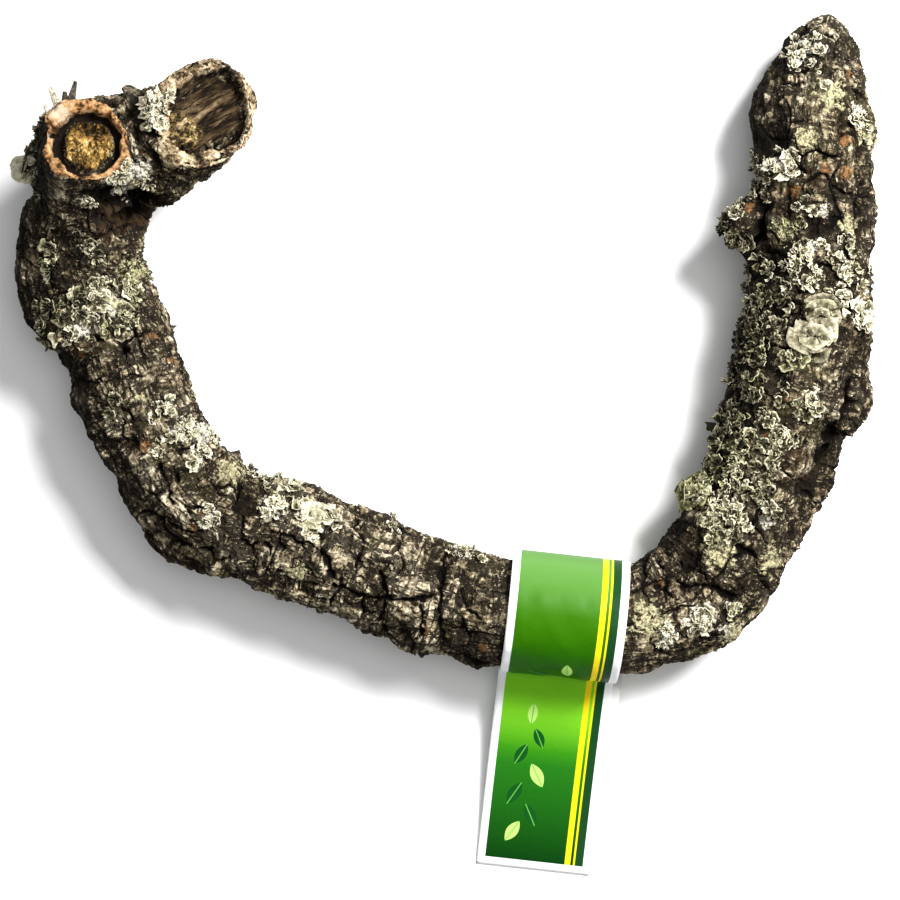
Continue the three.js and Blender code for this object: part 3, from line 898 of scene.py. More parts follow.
def sawn_material():
    """The round stub's end: a ring of orange cork, a gap painted dark as shade, and an ochre core, browner at
    its top.
    """
    material, nodes = new_material("sawn_round_end")
    place = nodes.attribute("cut_place", "Vector")
    axes = nodes.axes(place)
    flat = nodes.vector("MULTIPLY", place, (1, 1, 0))
    sand = nodes.noise(place, 620, 5, 0.75)
    broad = nodes.noise(place, 150, 4, 0.65)
    rays = nodes.noise(nodes.vector("NORMALIZE", flat), 3.5, 3, 0.6)
    cork = nodes.ramp(nodes.total((sand, 0.25), (broad, 0.75)), [
        (0.37, (0.010, 0.005, 0.003)), (0.44, (0.085, 0.038, 0.015)), (0.49, (0.33, 0.172, 0.066)),
        (0.56, (0.50, 0.30, 0.145)), (0.67, (0.66, 0.50, 0.34)),
    ])
    corner = nodes.vector("DISTANCE", flat, (-12 * MM, 12 * MM, 0))
    lightness = nodes.step(nodes.shifted(corner, sand, 16 * MM), 4.2 * MM, 3 * MM)
    cork = nodes.cover(cork, lightness, 0.75, (0.60, 0.50, 0.36))
    heart = nodes.total((rays, 0.2), (broad, 0.45), (sand, 0.35))
    lower = nodes.math("MULTIPLY", nodes.step(axes["Y"], 7 * MM, -6 * MM), 0.11)
    core = nodes.ramp(nodes.math("ADD", heart, nodes.math("SUBTRACT", lower, 0.03)), [
        (0.41, (0.008, 0.005, 0.002)), (0.47, (0.055, 0.029, 0.008)), (0.53, (0.21, 0.117, 0.029)),
        (0.6, (0.50, 0.31, 0.085)), (0.7, (0.78, 0.61, 0.33)),
    ])
    split = nodes.line(nodes.noise(nodes.stretch(place, (1, 0.4, 1)), 240, 3, 0.6), 0.5, 0.05, 0.02)
    core = nodes.cover(core, split, 0.85, (0.012, 0.007, 0.003))
    colour = nodes.mix(nodes.step(nodes.vector("LENGTH", flat), 12.0 * MM, 12.6 * MM), core, cork)
    # Painted shade: below the rim, the gap is painted near-black by its depth.
    gap_shade = nodes.step(axes["Z"], -2.9 * MM, -4.4 * MM)
    colour = nodes.mix(gap_shade, colour, (0.008, 0.005, 0.003))
    nodes.finish(colour, 0.88, 0.1, nodes.bump(nodes.math("ADD", heart, sand), 0.8, 0.9 * MM))
    return material


def weathered_material():
    """The hollow stub's end: a pale worn cork rim round dark brown, splintered wood."""
    material, nodes = new_material("weathered_hollow_end")
    place = nodes.attribute("cut_place", "Vector")
    depth = nodes.axes(place)["Z"]
    turned = nodes.stretch(place, turn=(0, 0, -HOLLOW_GRAIN))
    fibres = nodes.noise(nodes.stretch(turned, (0.13, 1, 0.4)), 620, 3, 0.7)
    broad = nodes.noise(place, 100, 4, 0.65)
    sand = nodes.noise(place, 560, 5, 0.75)
    wood = nodes.ramp(nodes.total((fibres, 0.6), (broad, 0.4)), [
        (0.38, (0.004, 0.0025, 0.0015)), (0.46, (0.022, 0.0135, 0.006)), (0.55, (0.070, 0.044, 0.021)),
        (0.65, (0.20, 0.14, 0.074)), (0.76, (0.48, 0.39, 0.25)),
    ])
    grain = nodes.noise(nodes.stretch(turned, (0.2, 1, 0.4)), 230, 3, 0.6)
    wood = nodes.cover(wood, nodes.line(grain, 0.47, 0.05, 0.02), 0.9, (0.004, 0.0025, 0.0015))
    pale = nodes.math("MULTIPLY", nodes.step(grain, 0.57, 0.64), nodes.step(sand, 0.42, 0.56))
    wood = nodes.cover(wood, pale, 0.7, (0.27, 0.20, 0.115))
    crumbs = nodes.ramp(nodes.noise(place, 380, 4, 0.75), [
        (0.42, (0.008, 0.005, 0.002)), (0.5, (0.065, 0.042, 0.016)), (0.58, (0.28, 0.195, 0.075)),
        (0.68, (0.70, 0.58, 0.34)),
    ])
    corner = nodes.vector("DISTANCE", place, (-11 * MM, -8 * MM, -6 * MM))
    crumbly = nodes.step(nodes.shifted(corner, broad, 14 * MM), 9 * MM, 6 * MM)
    wood = nodes.mix(crumbly, wood, crumbs)
    rim = nodes.ramp(nodes.total((sand, 0.45), (broad, 0.55)), [
        (0.4, (0.007, 0.005, 0.003)), (0.45, (0.07, 0.045, 0.022)), (0.5, (0.33, 0.24, 0.135)),
        (0.57, (0.68, 0.57, 0.40)), (0.68, (0.86, 0.79, 0.62)),
    ])
    edge = nodes.step(nodes.shifted(depth, broad, 5 * MM), -4.2 * MM, -3.0 * MM)
    colour = nodes.mix(edge, wood, rim)
    # Painted shade: the wood deepest in the hollow is painted near-black by its depth.
    gap_shade = nodes.step(depth, -10.5 * MM, -12.5 * MM)
    colour = nodes.mix(gap_shade, colour, (0.006, 0.004, 0.003))
    nodes.finish(colour, 0.9, 0.1, nodes.bump(nodes.math("ADD", fibres, sand), 0.8, 0.9 * MM))
    return material


def finish_cut(piece, cut, inside, material):
    """Gives the faces of a saw cut their material; inside tells which they are from places across the cut."""
    mesh = piece.data
    mesh.materials.append(material)
    across = read(mesh.attributes["cut_place"].data, "vector", 3, np.float32)[first_corners(mesh)] / MM
    slope = cut_places(read(mesh.polygons, "normal", 3) + np.array(cut[0]), cut)
    outwards = (slope[:, :2] * across[:, :2]).sum(axis=1)
    outwards = outwards / np.maximum(np.hypot(across[:, 0], across[:, 1]), 0.1)
    wall = (outwards > 0.7) & (across[:, 2] < -3)
    chosen = inside(across, slope[:, 2]) & ~wall
    mesh.polygons.foreach_set("material_index", chosen.astype(np.int32))


def in_round_cut(across, facing):
    away, _, (outer, _, _) = ring_places(across, ROUND_SHIFT, ROUND_RIM)
    return (across[:, 2] > -9) & ((away < outer - 1.2) | ((away < outer + 1) & (facing > 0.45)))


def in_hollow_cut(across, facing):
    away, _, (outer, inner) = ring_places(across, HOLLOW_SHIFT, HOLLOW_RIM)
    floor = (away < inner + 0.8) & (facing > -0.5)
    rim = ((away < outer - 1.6) & (facing > 0.0)) | ((away < outer + 1.5) & (facing > 0.55))
    return (across[:, 2] > -18) & (floor | rim)


# Lichen

# Patches of leafy lichen: x, y, reach, rosettes, leaf size, paleness and greenness from 0 to 1.
LICHEN_PATCHES = [
    (155, 47, 1.5, 2, 3.0, 0.72, 0.0), (158, 57, 1.5, 2, 2.7, 0.66, 0.0), (164, 62, 4, 5, 1.4, 0.8, 0.0),
    (126, 55, 4, 5, 1.7, -0.1, 0.1), (124, 44, 4, 5, 1.7, -0.1, 0.1), (123, 36, 4, 4, 1.7, 0.0, 0.2),
    (178, 57, 6, 6, 1.6, 0.9, 0.1), (174, 75, 8, 9, 1.1, 0.8, 0.1), (160, 72, 10, 12, 1.0, 0.75, 0.1),
    (146, 74, 9, 12, 1.0, 0.65, 0.1), (135, 72, 8, 10, 1.1, 0.4, 0.2), (138, 60, 9, 12, 1.2, 0.45, 0.2),
    (137, 43, 6, 8, 1.4, 0.5, 0.6), (146, 41, 5, 5, 1.4, 0.6, 0.5), (127, 50, 7, 12, 1.4, 0.15, 0.3),
    (128, 34, 9, 12, 1.2, 0.3, 0.3), (136, 26, 8, 10, 1.2, 0.45, 0.3), (121, 18, 7, 9, 1.4, 0.3, 0.4),
    (152, 18, 5, 6, 1.3, 0.75, 0.3), (140, 7, 7, 9, 1.3, 0.65, 0.3), (130, 8, 9, 11, 1.2, 0.45, 0.4),
    (119, -2, 9, 12, 1.3, 0.4, 0.6), (131, -6, 9, 11, 1.2, 0.55, 0.4), (122, -12, 9, 12, 1.2, 0.6, 0.5),
    (105, -16, 5, 9, 1.9, 0.55, 0.8), (111, -10, 7, 8, 1.5, 0.45, 0.7), (126, -22, 11, 15, 1.1, 0.75, 0.2),
    (114, -24, 7, 9, 1.2, 0.65, 0.3), (136, -22, 8, 9, 1.0, 0.6, 0.2), (118, -33, 8, 9, 1.1, 0.6, 0.3),
    (143, 121, 7, 8, 1.2, 0.85, 0.0), (134, 112, 7, 9, 1.2, 0.5, 0.1), (131, 122, 6, 7, 1.1, 0.4, 0.1),
    (154, 85, 6, 7, 1.0, 0.85, 0.0), (145, 92, 6, 6, 0.9, 0.5, 0.8), (152, 100, 6, 4, 0.9, 0.7, 0.0),
    (166, 84, 8, 8, 0.9, 0.7, 0.1), (180, 134, 5, 4, 0.8, 0.8, 0.2), (155, 172, 6, 6, 1.0, 0.85, 0.0),
    (151, 166, 5, 5, 1.1, 0.9, 0.0), (158, 157, 7, 5, 0.8, 0.7, 0.0), (176, 140, 4, 3, 1.0, 0.95, 0.0),
    (108, -70, 7, 8, 1.2, 0.8, 0.1), (95, -79, 4, 5, 1.0, 0.85, 0.1), (122, -66, 4, 3, 0.9, 0.65, 0.5),
    (126, 103, 5, 6, 1.1, 0.7, 0.1), (121, 94, 4, 5, 1.1, 0.35, 0.2), (126, 86, 4, 5, 1.2, 0.3, 0.2),
    (75, -60, 3, 2, 0.8, 0.9, 0.0), (-148, 68, 7, 7, 1.6, 0.6, 0.2), (-137, 66, 7, 7, 1.3, 0.6, 0.4),
    (-138, 54, 6, 6, 1.3, 0.55, 0.4), (-153, 51, 7, 7, 1.5, 0.7, 0.1), (-166, 57, 6, 6, 1.6, 0.4, 0.4),
    (-157, 58, 6, 5, 1.5, 0.25, 0.3), (-163, 79, 6, 5, 1.3, 0.4, 0.3), (-145, 85, 6, 5, 1.1, 0.6, 0.1),
    (-157, 88, 7, 5, 1.2, 0.25, 0.2), (-132, 76, 6, 5, 0.9, 0.5, 0.8), (-172, 50, 4, 4, 1.2, 0.5, 0.3),
    (-118, 16, 4, 5, 1.1, 0.85, 0.1), (-112, 22, 5, 5, 0.8, 0.7, 0.3), (-112, 8, 5, 7, 1.0, 0.85, 0.1),
    (-102, 7, 6, 8, 1.1, 0.9, 0.1), (-104, -2, 5, 6, 1.0, 0.85, 0.1), (-117, 1, 4, 4, 0.8, 0.75, 0.1),
    (-138, 18, 4, 4, 1.1, 0.6, 0.2), (-98, -28, 4, 5, 1.0, 0.9, 0.0), (-81, -14, 3, 2, 1.0, 0.95, 0.0),
    (-73, -25, 5, 6, 1.1, 0.95, 0.0), (-65, -17, 3, 3, 1.4, 0.8, 0.2), (-60, -26, 3, 3, 1.5, 0.75, 0.0),
    (-52, -27, 2, 2, 2.2, 0.85, 0.0), (-46, -28, 2, 2, 1.3, 0.8, 0.0), (-54, -34, 2, 2, 1.4, 0.85, 0.0),
    (-76, -9, 8, 8, 0.9, 0.5, 0.3), (-118, 142, 4, 6, 1.5, 0.95, 0.0), (-116, 147, 3, 4, 1.4, 0.95, 0.0),
    (-119, 136, 3, 3, 1.3, 0.9, 0.0), (-132, 110, 4, 5, 1.4, 0.85, 0.1), (-126, 113, 4, 4, 1.3, 0.85, 0.0),
    (-146, 103, 3, 3, 1.2, 0.85, 0.0), (-178, 120, 3, 4, 2.2, 0.55, 0.4), (-171, 128, 4, 6, 1.3, 0.3, 0.3),
    (-168, 137, 3, 5, 1.2, 0.6, 0.2), (-168, 110, 5, 5, 1.0, 0.3, 0.2), (14, -44, 5, 4, 0.8, 0.7, 0.2),
    (5, -45, 4, 3, 0.8, 0.7, 0.1), (-20, -32, 5, 3, 0.7, 0.7, 0.1),
]
# Rosettes that spread out beyond the bark, facing up: place, leaf size, paleness and greenness.
LEDGE_ROSETTES = [
    ((-179, 119, 56), 2.2, 1.0, 0.15), ((-170, 137, 60), 1.4, 0.75, 0.1), ((-172, 131, 58), 1.4, 0.55, 0.2),
    ((-173, 126, 56), 1.5, 0.45, 0.2), ((-168, 140, 62), 1.2, 0.8, 0.1),
    ((105, -17, 40), 1.8, 0.55, 0.8), ((106, -20, 38), 1.6, 0.6, 0.7), ((113, 13, 38), 1.6, 0.3, 0.4),
]
LICHEN_SHARE = 0.85  # of those rosettes, how many are grown
STRAY_ROSETTES = 80  # underneath, away from the patches
LEAF_ACROSS, LEAF_ALONG = 7, 5  # points of one leaf
LEAF_LENGTH, LEAF_THICK = 2.7, 0.3
UPPER_RIGHT = 30  # the y above which lichen on the right belongs to the upper mesh
FLAT_SIZE = 1.9  # leaves larger than this are broad and flat
# How much lobes curl, ruffle and scallop, how they vary in paleness, and how much their edges are painted
# paler as highlight and their middles darker as shade.
LEAFY_LOBES, FLAT_LOBES = (1, 1, 0.12, 0.22, 0.9), (0.3, 0.5, 0.05, 0.1, 0.5)


def new_sheet(name, points, faces, values, materials, thickness, **rim):
    """A thin sheet: points and faces, values for its materials, then the materials of its front and back."""
    mesh = bpy.data.meshes.new(name)
    mesh.from_pydata((points * MM).tolist(), [], faces.tolist())
    for key, numbers in values.items():
        store(mesh, key, numbers)
    for material in materials:
        mesh.materials.append(material)
    obj = new_object(name, mesh)
    apply(obj, "SOLIDIFY", thickness=thickness * MM, offset=-1.0, material_offset=1, **rim)
    bpy.ops.object.shade_smooth()
    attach(obj, "root")
    return obj


def rosette_leaves(point, normal, size, pale, green):
    """Ruffled lobes of one rosette, upright in its middle: points, paleness and greenness."""
    normal = unit(normal)
    first = unit(np.cross(normal, dice.normal(size=3)))
    second = np.cross(normal, first)
    flat = size > FLAT_SIZE
    curl, ruffle, scallop, variety, edge_light = FLAT_LOBES if flat else LEAFY_LOBES
    count = int(dice.integers(5, 9)) + 3 * flat
    w = np.linspace(-1, 1, LEAF_ACROSS)[None, :]
    t = np.linspace(0, 1, LEAF_ALONG)[:, None]
    edge = np.maximum(t * t, 0.75 * np.abs(w)).ravel()
    for i in range(count):
        inner = i >= count - 2
        turn = 2 * math.pi * (i + dice.uniform(-0.5, 0.5)) / max(count - 2, 1)
        ahead = first * math.cos(turn) + second * math.sin(turn)
        aside = np.cross(normal, ahead)
        length = LEAF_LENGTH * size * dice.uniform(0.55, 1.25) * (0.75 if inner else 1)
        lift = (dice.uniform(1.0, 2.4) if inner else dice.uniform(0.0, 1.4)) * curl
        swing, wave = dice.uniform(0, 6.28, 2)
        frill = dice.uniform(0.15, 0.65) * ruffle
        cup = dice.uniform(-0.2, 0.9) * curl
        fan = w * (dice.uniform(0.45, 0.95) + 0.25 * flat) + 0.3 * t * dice.uniform(-1, 1)
        reach = length * (0.12 + 0.88 * t) * (1 + scallop * t * np.cos(w * 5 + swing))
        up = 0.25 + lift * t**2 + frill * t**2 * np.sin(w * 6 + wave) + cup * w * w * t
        spot = point + ahead * dice.uniform(-0.4, 1.4) * size
        lobe = spot + (reach * np.cos(fan))[..., None] * ahead + (reach * np.sin(fan))[..., None] * aside
        lobe = lobe + up[..., None] * normal
        # Painted highlight on the edges of each lobe and painted shade in its middle.
        tone = pale - 0.12 + dice.normal(0, variety) + edge_light * (edge - 0.68)
        yield lobe.reshape(-1, 3), tone, np.full(edge.size, green + dice.normal(0, 0.2))


def grow_lichen(name, rosettes, materials):
    """One mesh of all the leaves of these rosettes, each with some thickness."""
    leaves = [leaf for rosette in rosettes for leaf in rosette_leaves(*rosette)]
    one = LEAF_ACROSS * LEAF_ALONG
    grid = np.arange(one).reshape(LEAF_ALONG, LEAF_ACROSS)
    quad = np.stack([grid[:-1, :-1], grid[1:, :-1], grid[1:, 1:], grid[:-1, 1:]], axis=-1).reshape(-1, 4)
    faces = (quad[None] + np.arange(len(leaves))[:, None, None] * one).reshape(-1, 4)
    points, paleness, greenness = (np.concatenate(parts) for parts in zip(*leaves))
    points[:, 2] = np.maximum(points[:, 2], 0.5)
    values = {"paleness": paleness, "greenness": greenness}
    obj = new_sheet(name, points, faces, values, materials, LEAF_THICK)


def lichen_materials():
    """Cream, grey or yellow-green leaves, painted paler at their edges as highlight, dark underneath."""
    leaf, nodes = new_material("lichen_leaf")
    sand = nodes.noise(nodes.object_place(), 620, 4, 0.7)
    colour = nodes.ramp(nodes.shifted(nodes.attribute("paleness"), sand, 1.3), [
        (0.0, (0.008, 0.007, 0.004)), (0.25, (0.045, 0.039, 0.023)), (0.5, (0.17, 0.15, 0.095)),
        (0.75, (0.42, 0.383, 0.27)), (1.0, (0.68, 0.635, 0.50)),
    ])
    green = nodes.mix(1.0, colour, (0.9, 0.98, 0.68), "MULTIPLY")
    share = nodes.math("MULTIPLY", nodes.attribute("greenness"), 1.0, clamp=True)
    colour = nodes.mix(share, colour, green)
    nodes.finish(colour, 0.9, 0.1, nodes.bump(sand, 0.7, 0.6 * MM))
    underside, nodes = new_material("lichen_underside")
    blotch = nodes.noise(nodes.object_place(), 500, 3)
    nodes.finish(nodes.ramp(blotch, [(0.3, (0.010, 0.008, 0.006)), (0.7, (0.06, 0.048, 0.032))]), 0.95)
    return leaf, underside


def scatter_lichen(points, normals, owner):
    """Rosettes for every patch, and strays underneath, parted by where they grow."""
    homes = {"left_arm_lichen": [], "lower_right_lichen": [], "upper_right_lichen": []}

    def plant(point, normal, size, pale, green):
        right = "lower_right_lichen" if point[1] < UPPER_RIGHT else "upper_right_lichen"
        home = "left_arm_lichen" if point[0] < 0 else right
        homes[home].append((point, normal, size, pale, green))

    upper = np.flatnonzero(normals[:, 2] > -0.15)
    for x, y, reach, count, size, pale, green in LICHEN_PATCHES:
        away = np.hypot(points[upper, 0] - x, points[upper, 1] - y)
        near = upper[away < max(reach, away.min() + 2)]
        for index in dice.choice(near, max(2, round(count * LICHEN_SHARE))):
            plant(points[index], normals[index], size * dice.uniform(0.7, 1.15), pale, green)
    for place, size, pale, green in LEDGE_ROSETTES:
        index = np.argmin(np.linalg.norm(points - np.array(place), axis=1))
        facing = normals[index] * 0.3 + (dice.uniform(-0.2, 0.2), dice.uniform(-0.2, 0.2), 1.0)
        plant(points[index] * 0.8 + np.array(place) * 0.2, facing, size, pale, green)
    hidden = np.flatnonzero((normals[:, 2] < -0.45) & (points[:, 2] > 7) & (owner == LIMB))
    from_tag = np.hypot(points[hidden, 0] - TAG_CENTRE[0], points[hidden, 1] - TAG_CENTRE[1])
    for index in dice.choice(hidden[from_tag > 50], STRAY_ROSETTES):
        looks = dice.uniform(0.8, 1.3), dice.uniform(0.2, 0.7), dice.uniform(0, 0.6)
        plant(points[index], normals[index], *looks)
    return homes


# Splinters

# Slivers of bark that stand up by the round stub's rim: foot, tip, width, thickness and whether it is pale.
SPLINTERS = [
    ((-156.5, 138.0, 80), (-160.3, 148.0, 88), 5.0, 1.6, True),
    ((-153.5, 140.0, 80), (-149.8, 150.5, 88), 4.6, 1.8, False),
    ((-155.0, 140.0, 79), (-154.5, 146.5, 86), 5.0, 1.6, False),
    ((-159.0, 134.0, 79), (-163.0, 141.0, 85), 4.4, 1.5, True),
]
PALE_STREAKS = [(0.35, (0.10, 0.075, 0.045)), (0.5, (0.5, 0.43, 0.31)), (0.65, (0.82, 0.75, 0.6))]
DARK_STREAKS = [(0.35, (0.008, 0.006, 0.004)), (0.5, (0.07, 0.056, 0.04)), (0.68, (0.3, 0.26, 0.19))]


def splinter_material(name, stops):
    material, nodes = new_material(name)
    streaks = nodes.noise(nodes.stretch(nodes.object_place(), (1, 1, 0.25)), 800, 4, 0.7)
    nodes.finish(nodes.ramp(streaks, stops), 0.92, normal=nodes.bump(streaks, 0.8, 0.8 * MM))
    return material


def build_splinters():
    """Flat pointed slivers, each a narrow cone pressed flat and roughened, joined to one piece."""
    pale = splinter_material("pale_splinter", PALE_STREAKS)
    dark = splinter_material("dark_splinter", DARK_STREAKS)
    slivers = []
    for foot, tip, width, thick, is_pale in SPLINTERS:
        start, end = Vector(foot) * MM, Vector(tip) * MM
        way = end - start
        bpy.ops.mesh.primitive_cone_add(vertices=8, radius1=0.5, radius2=0.17, depth=1)
        sliver = bpy.context.active_object
        edit(sliver, bpy.ops.mesh.subdivide, number_cuts=3, fractal=0.25, seed=len(slivers))
        sliver.scale = (width * MM, thick * MM, way.length)
        sliver.rotation_euler = way.to_track_quat("Z", "Y").to_euler()
        sliver.location = (start + end) / 2
        bpy.ops.object.transform_apply(location=True, rotation=True, scale=True)
        sliver.data.materials.append(pale if is_pale else dark)
        slivers.append(sliver)
    only(*slivers)
    bpy.ops.object.join()
    piece = bpy.context.active_object
    piece.name = piece.data.name = "bark_splinters"
    bpy.ops.object.origin_set(type="ORIGIN_CURSOR")
    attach(piece, "root")


# Tag

TAG_CREASE, TAG_SAG, TAG_END = (29.0, 16.0), (66.0, 4.0), (114.0, 0.2)
TAG_FRONT_LEAVES, TAG_BACK_LEAVES = math.radians(-20), math.radians(290)
TAG_FRONT_RISE, TAG_BACK_RISE = 0.95, 0.3  # how far the two ends of the strip lie above the tail's line
TAG_BACK_SLIP = 3.5  # how far the back of the folded strip sits to one side
TAG_STEP, TAG_COLUMNS = 1.5, 34

# Leaves printed on the tag: middle across and along the strip, turn in degrees, length and half width.
PRINTED_LEAVES = [
    (14, 16, 60, 11, 2.6), (21, 24, 118, 11, 2.6), (13, 33, 62, 12, 2.8), (22, 42, 120, 12, 2.8),
    (14, 51, 64, 11, 2.5), (21, 59, 116, 10, 2.3), (17, 70, 88, 10, 2.2), (26, 104, 40, 13, 2.8),
    (17, 112, 150, 12, 2.6), (28, 118, 95, 11, 2.4),
]
DARK_LEAF, PALE_LEAF, LEAF_VEIN = (0.004, 0.07, 0.01), (0.42, 0.72, 0.16), (0.12, 0.4, 0.05)
STRIPES = [(38.5, 41.0), (42.2, 43.0)]  # where they start and end across the strip
STRIPE_YELLOW, BORDER_GREEN, MARGIN_WHITE = (0.9, 0.68, 0.01), (0.008, 0.05, 0.012), (0.86, 0.87, 0.88)


def tag_route():
    """The folded strip seen from its edge: distance out, height, and length from its front end."""
    t = np.linspace(0, 1, 60)[:, None]
    crease, sag, end = (np.array(p) for p in (TAG_CREASE, TAG_SAG, TAG_END))
    tail = crease * (1 - t) ** 2 + 2 * sag * t * (1 - t) + end * t**2
    turn = np.linspace(TAG_FRONT_LEAVES, TAG_BACK_LEAVES, 120)[:, None]
    loop = TAG_LOOP_RADIUS * np.hstack([np.cos(turn), np.sin(turn)]) + (0, TAG_CENTRE[2])
    route = np.vstack([tail[::-1] + (0, TAG_FRONT_RISE), loop, tail + (0, TAG_BACK_RISE)])
    gone = np.concatenate([[0], np.cumsum(np.linalg.norm(np.diff(route, axis=0), axis=1))])
    even = np.arange(0, gone[-1], TAG_STEP)
    soft = np.stack([np.interp(even, gone, route[:, k]) for k in (0, 1)], axis=1)
    for _ in range(3):
        soft[1:-1] = (soft[:-2] + 2 * soft[1:-1] + soft[2:]) / 4
    return soft, even


def build_tag():
    """A strip of printed paper, folded round the limb and pressed together as a tail."""
    route, gone = tag_route()
    rows = len(route)
    across = np.linspace(-TAG_WIDTH / 2, TAG_WIDTH / 2, TAG_COLUMNS)
    ahead = units(np.gradient(route, axis=0))
    outward = np.stack([ahead[:, 1], -ahead[:, 0]], axis=1)
    share = gone / gone[-1]
    slip = TAG_BACK_SLIP * smoothstep(0.5, 0.68, share) * (1 - smoothstep(0.76, 0.9, share))
    grids = np.meshgrid(np.arange(rows), np.arange(TAG_COLUMNS), indexing="ij")
    row, column = (grid.ravel() for grid in grids)
    spots = np.stack([gone[row] / 11, across[column] / 9, np.zeros(len(row))], axis=1)
    on_loop = smoothstep(80, 95, gone[row]) * (1 - smoothstep(150, 170, gone[row]))
    dent = (0.55 * lumps(spots, 81) + 0.3 * lumps(spots * 2.3, 82)) * on_loop
    flat = route[row] + outward[row] * dent[:, None]
    side = across[column] + slip[row]
    cos, sin = math.cos(TAG_TURN), math.sin(TAG_TURN)
    x = TAG_CENTRE[0] + side * cos + flat[:, 0] * sin
    y = TAG_CENTRE[1] + side * sin - flat[:, 0] * cos
    points = np.stack([x, y, flat[:, 1]], axis=1)
    grid = np.arange(len(points)).reshape(rows, TAG_COLUMNS)
    quads = np.stack([grid[:-1, :-1], grid[:-1, 1:], grid[1:, 1:], grid[1:, :-1]], axis=-1).reshape(-1, 4)
    strip = np.stack([across[column] + TAG_WIDTH / 2, gone[row], np.zeros(len(row))], axis=1)
    materials = tag_materials(gone[-1])
    values = {"strip": strip}
    obj = new_sheet("folded_tag", points, quads, values, materials, TAG_PAPER, material_offset_rim=1)
    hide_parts("paper_tag")


def leaf_group():
    """A mask of one pointed leaf on a strip measured in millimetres, and a mask of its vein."""
    sockets = {"Strip": "Vector", "Middle": "Vector", "Turn": "Float", "Length": "Float", "Width": "Float"}
    nodes, given, gives = new_group("printed_leaf", sockets, ["Leaf", "Vein"])
    offset = nodes.vector("SUBTRACT", given["Strip"], given["Middle"])
    inputs = {"Vector": offset, "Angle": given["Turn"]}
    axes = nodes.axes(nodes.new("ShaderNodeVectorRotate", inputs, rotation_type="Z_AXIS").outputs[0])
    aside = nodes.math("ABSOLUTE", axes["Y"])
    along = nodes.math("DIVIDE", axes["X"], nodes.math("MULTIPLY", given["Length"], 0.5))
    bulge = nodes.math("SUBTRACT", 1.0, nodes.math("MULTIPLY", along, along), clamp=True)
    edge = nodes.math("SUBTRACT", nodes.math("MULTIPLY", bulge, given["Width"]), aside)
    leaf = nodes.step(edge, 0.0, 0.15)
    nodes.put(gives["Leaf"], leaf)
    nodes.put(gives["Vein"], nodes.math("MULTIPLY", leaf, nodes.step(aside, 0.3, 0.12)))
    return nodes.tree


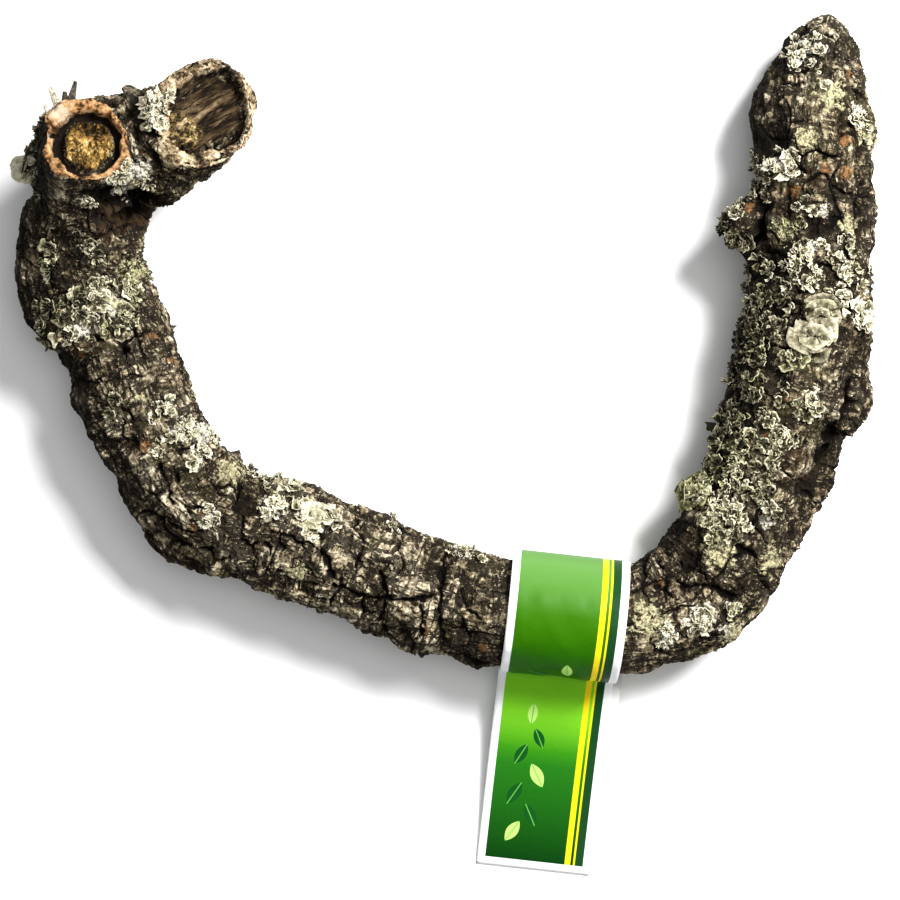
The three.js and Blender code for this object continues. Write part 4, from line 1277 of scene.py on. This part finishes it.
def tag_materials(length):
    """Printed paper: a green field with plain leaves and yellow stripes in a white margin; white inside."""
    printed, nodes = new_material("printed_paper")
    strip = nodes.attribute("strip", "Vector")
    axes = nodes.axes(strip)
    across = axes["X"]
    from_middle = nodes.math("ABSOLUTE", nodes.math("SUBTRACT", axes["Y"], length / 2))
    from_end = nodes.math("SUBTRACT", length / 2, from_middle)
    # The green is printed darker towards the strip's ends; from 0.41 to 0.5, where the tail lies in the
    # loop's shadow, it is made lighter as painted light.
    colour = nodes.ramp(nodes.math("DIVIDE", from_end, length / 2), [
        (0.0, (0.0003, 0.026, 0.002)), (0.27, (0.014, 0.145, 0.007)), (0.31, (0.032, 0.215, 0.006)),
        (0.41, (0.17, 0.53, 0.018)), (0.5, (0.2, 0.58, 0.018)), (0.57, (0.016, 0.106, 0.0008)),
        (0.72, (0.015, 0.105, 0.0006)), (0.85, (0.03, 0.132, 0.001)), (0.93, (0.08, 0.21, 0.035)),
        (1.0, (0.105, 0.25, 0.055)),
    ])
    group = leaf_group()
    for number, (x, y, turn, size, width) in enumerate(PRINTED_LEAVES):
        inputs = {"Strip": strip, "Middle": (x, y, 0), "Turn": -math.radians(turn)}
        inputs |= {"Length": size, "Width": width}
        leaf = nodes.new("ShaderNodeGroup", inputs, node_tree=group).outputs
        colour = nodes.mix(leaf["Leaf"], colour, DARK_LEAF if number % 3 else PALE_LEAF)
        colour = nodes.mix(leaf["Vein"], colour, LEAF_VEIN)
    for low, high in STRIPES:
        begun = nodes.step(across, low - 0.1, low + 0.1)
        inside = nodes.math("MULTIPLY", begun, nodes.step(across, high + 0.1, high - 0.1))
        colour = nodes.mix(inside, colour, STRIPE_YELLOW)
    colour = nodes.mix(nodes.step(across, STRIPES[1][1] + 0.05, STRIPES[1][1] + 0.25), colour, BORDER_GREEN)
    from_side = nodes.math("MINIMUM", across, nodes.math("SUBTRACT", TAG_WIDTH, across))
    edge = nodes.math("MINIMUM", from_side, from_end)
    field = nodes.step(edge, TAG_MARGIN - 0.15, TAG_MARGIN + 0.15)
    colour = nodes.mix(field, MARGIN_WHITE, colour)
    nodes.finish(colour, 0.42, 0.04, nodes.bump(nodes.noise(strip, 0.35, 3), 0.25, 0.6 * MM))
    plain, nodes = new_material("plain_paper")
    blotch = nodes.noise(nodes.object_place(), 300, 3)
    nodes.finish(nodes.ramp(blotch, [(0.3, (0.74, 0.74, 0.73)), (0.7, (0.84, 0.84, 0.83))]), 0.7)
    return printed, plain


# The floor, the light and the camera

def build_stage():
    bpy.ops.mesh.primitive_plane_add(size=6)
    floor = bpy.context.active_object
    floor.name = "floor"
    material, nodes = new_material("pale_floor")
    nodes.finish((0.9, 0.9, 0.9, 1), 0.8)
    floor.data.materials.append(material)


def add_light(name, place, size, power):
    light = bpy.data.lights.new(name, "AREA")
    light.energy = power
    light.size = size
    obj = new_object(name, light)
    obj.location = place
    obj.rotation_euler = Vector(place).to_track_quat("Z", "Y").to_euler()


def build_studio():
    add_light("key_light", (0.6, 0.52, 1.05), 0.4, 38)
    add_light("softbox_above", (0.2, 0.1, 1.9), 1.2, 12)
    world = bpy.data.worlds.new("studio")
    world.use_nodes = True
    background = world.node_tree.nodes["Background"]
    background.inputs["Color"].default_value = (1, 1, 1, 1)
    background.inputs["Strength"].default_value = 0.25
    scene = bpy.context.scene
    scene.world = world
    scene.view_settings.view_transform = "Standard"
    camera = new_object("camera", bpy.data.cameras.new("camera"))
    camera.location = (3 * MM, 0, 1.2)
    camera.data.lens = 109
    scene.camera = camera


bark = grow_bark()
points, smooth_normals, owner, places = carve_bark(bark)
pieces = part_bark(bark, owner, places)
cork_bark = bark_material()
for piece in pieces.values():
    piece.data.materials.append(cork_bark)
    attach(piece, "root")
for name in LIMB_LENGTHS:
    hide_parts("main_limb")
finish_cut(pieces["round_stub_bark"], ROUND_CUT, in_round_cut, sawn_material())
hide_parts("round_stub")
finish_cut(pieces["hollow_stub_bark"], HOLLOW_CUT, in_hollow_cut, weathered_material())
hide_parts("hollow_stub")
lichen = lichen_materials()
for name, rosettes in scatter_lichen(points, smooth_normals, owner).items():
    grow_lichen(name, rosettes, lichen)
build_splinters()
build_tag()
build_stage()
build_studio()
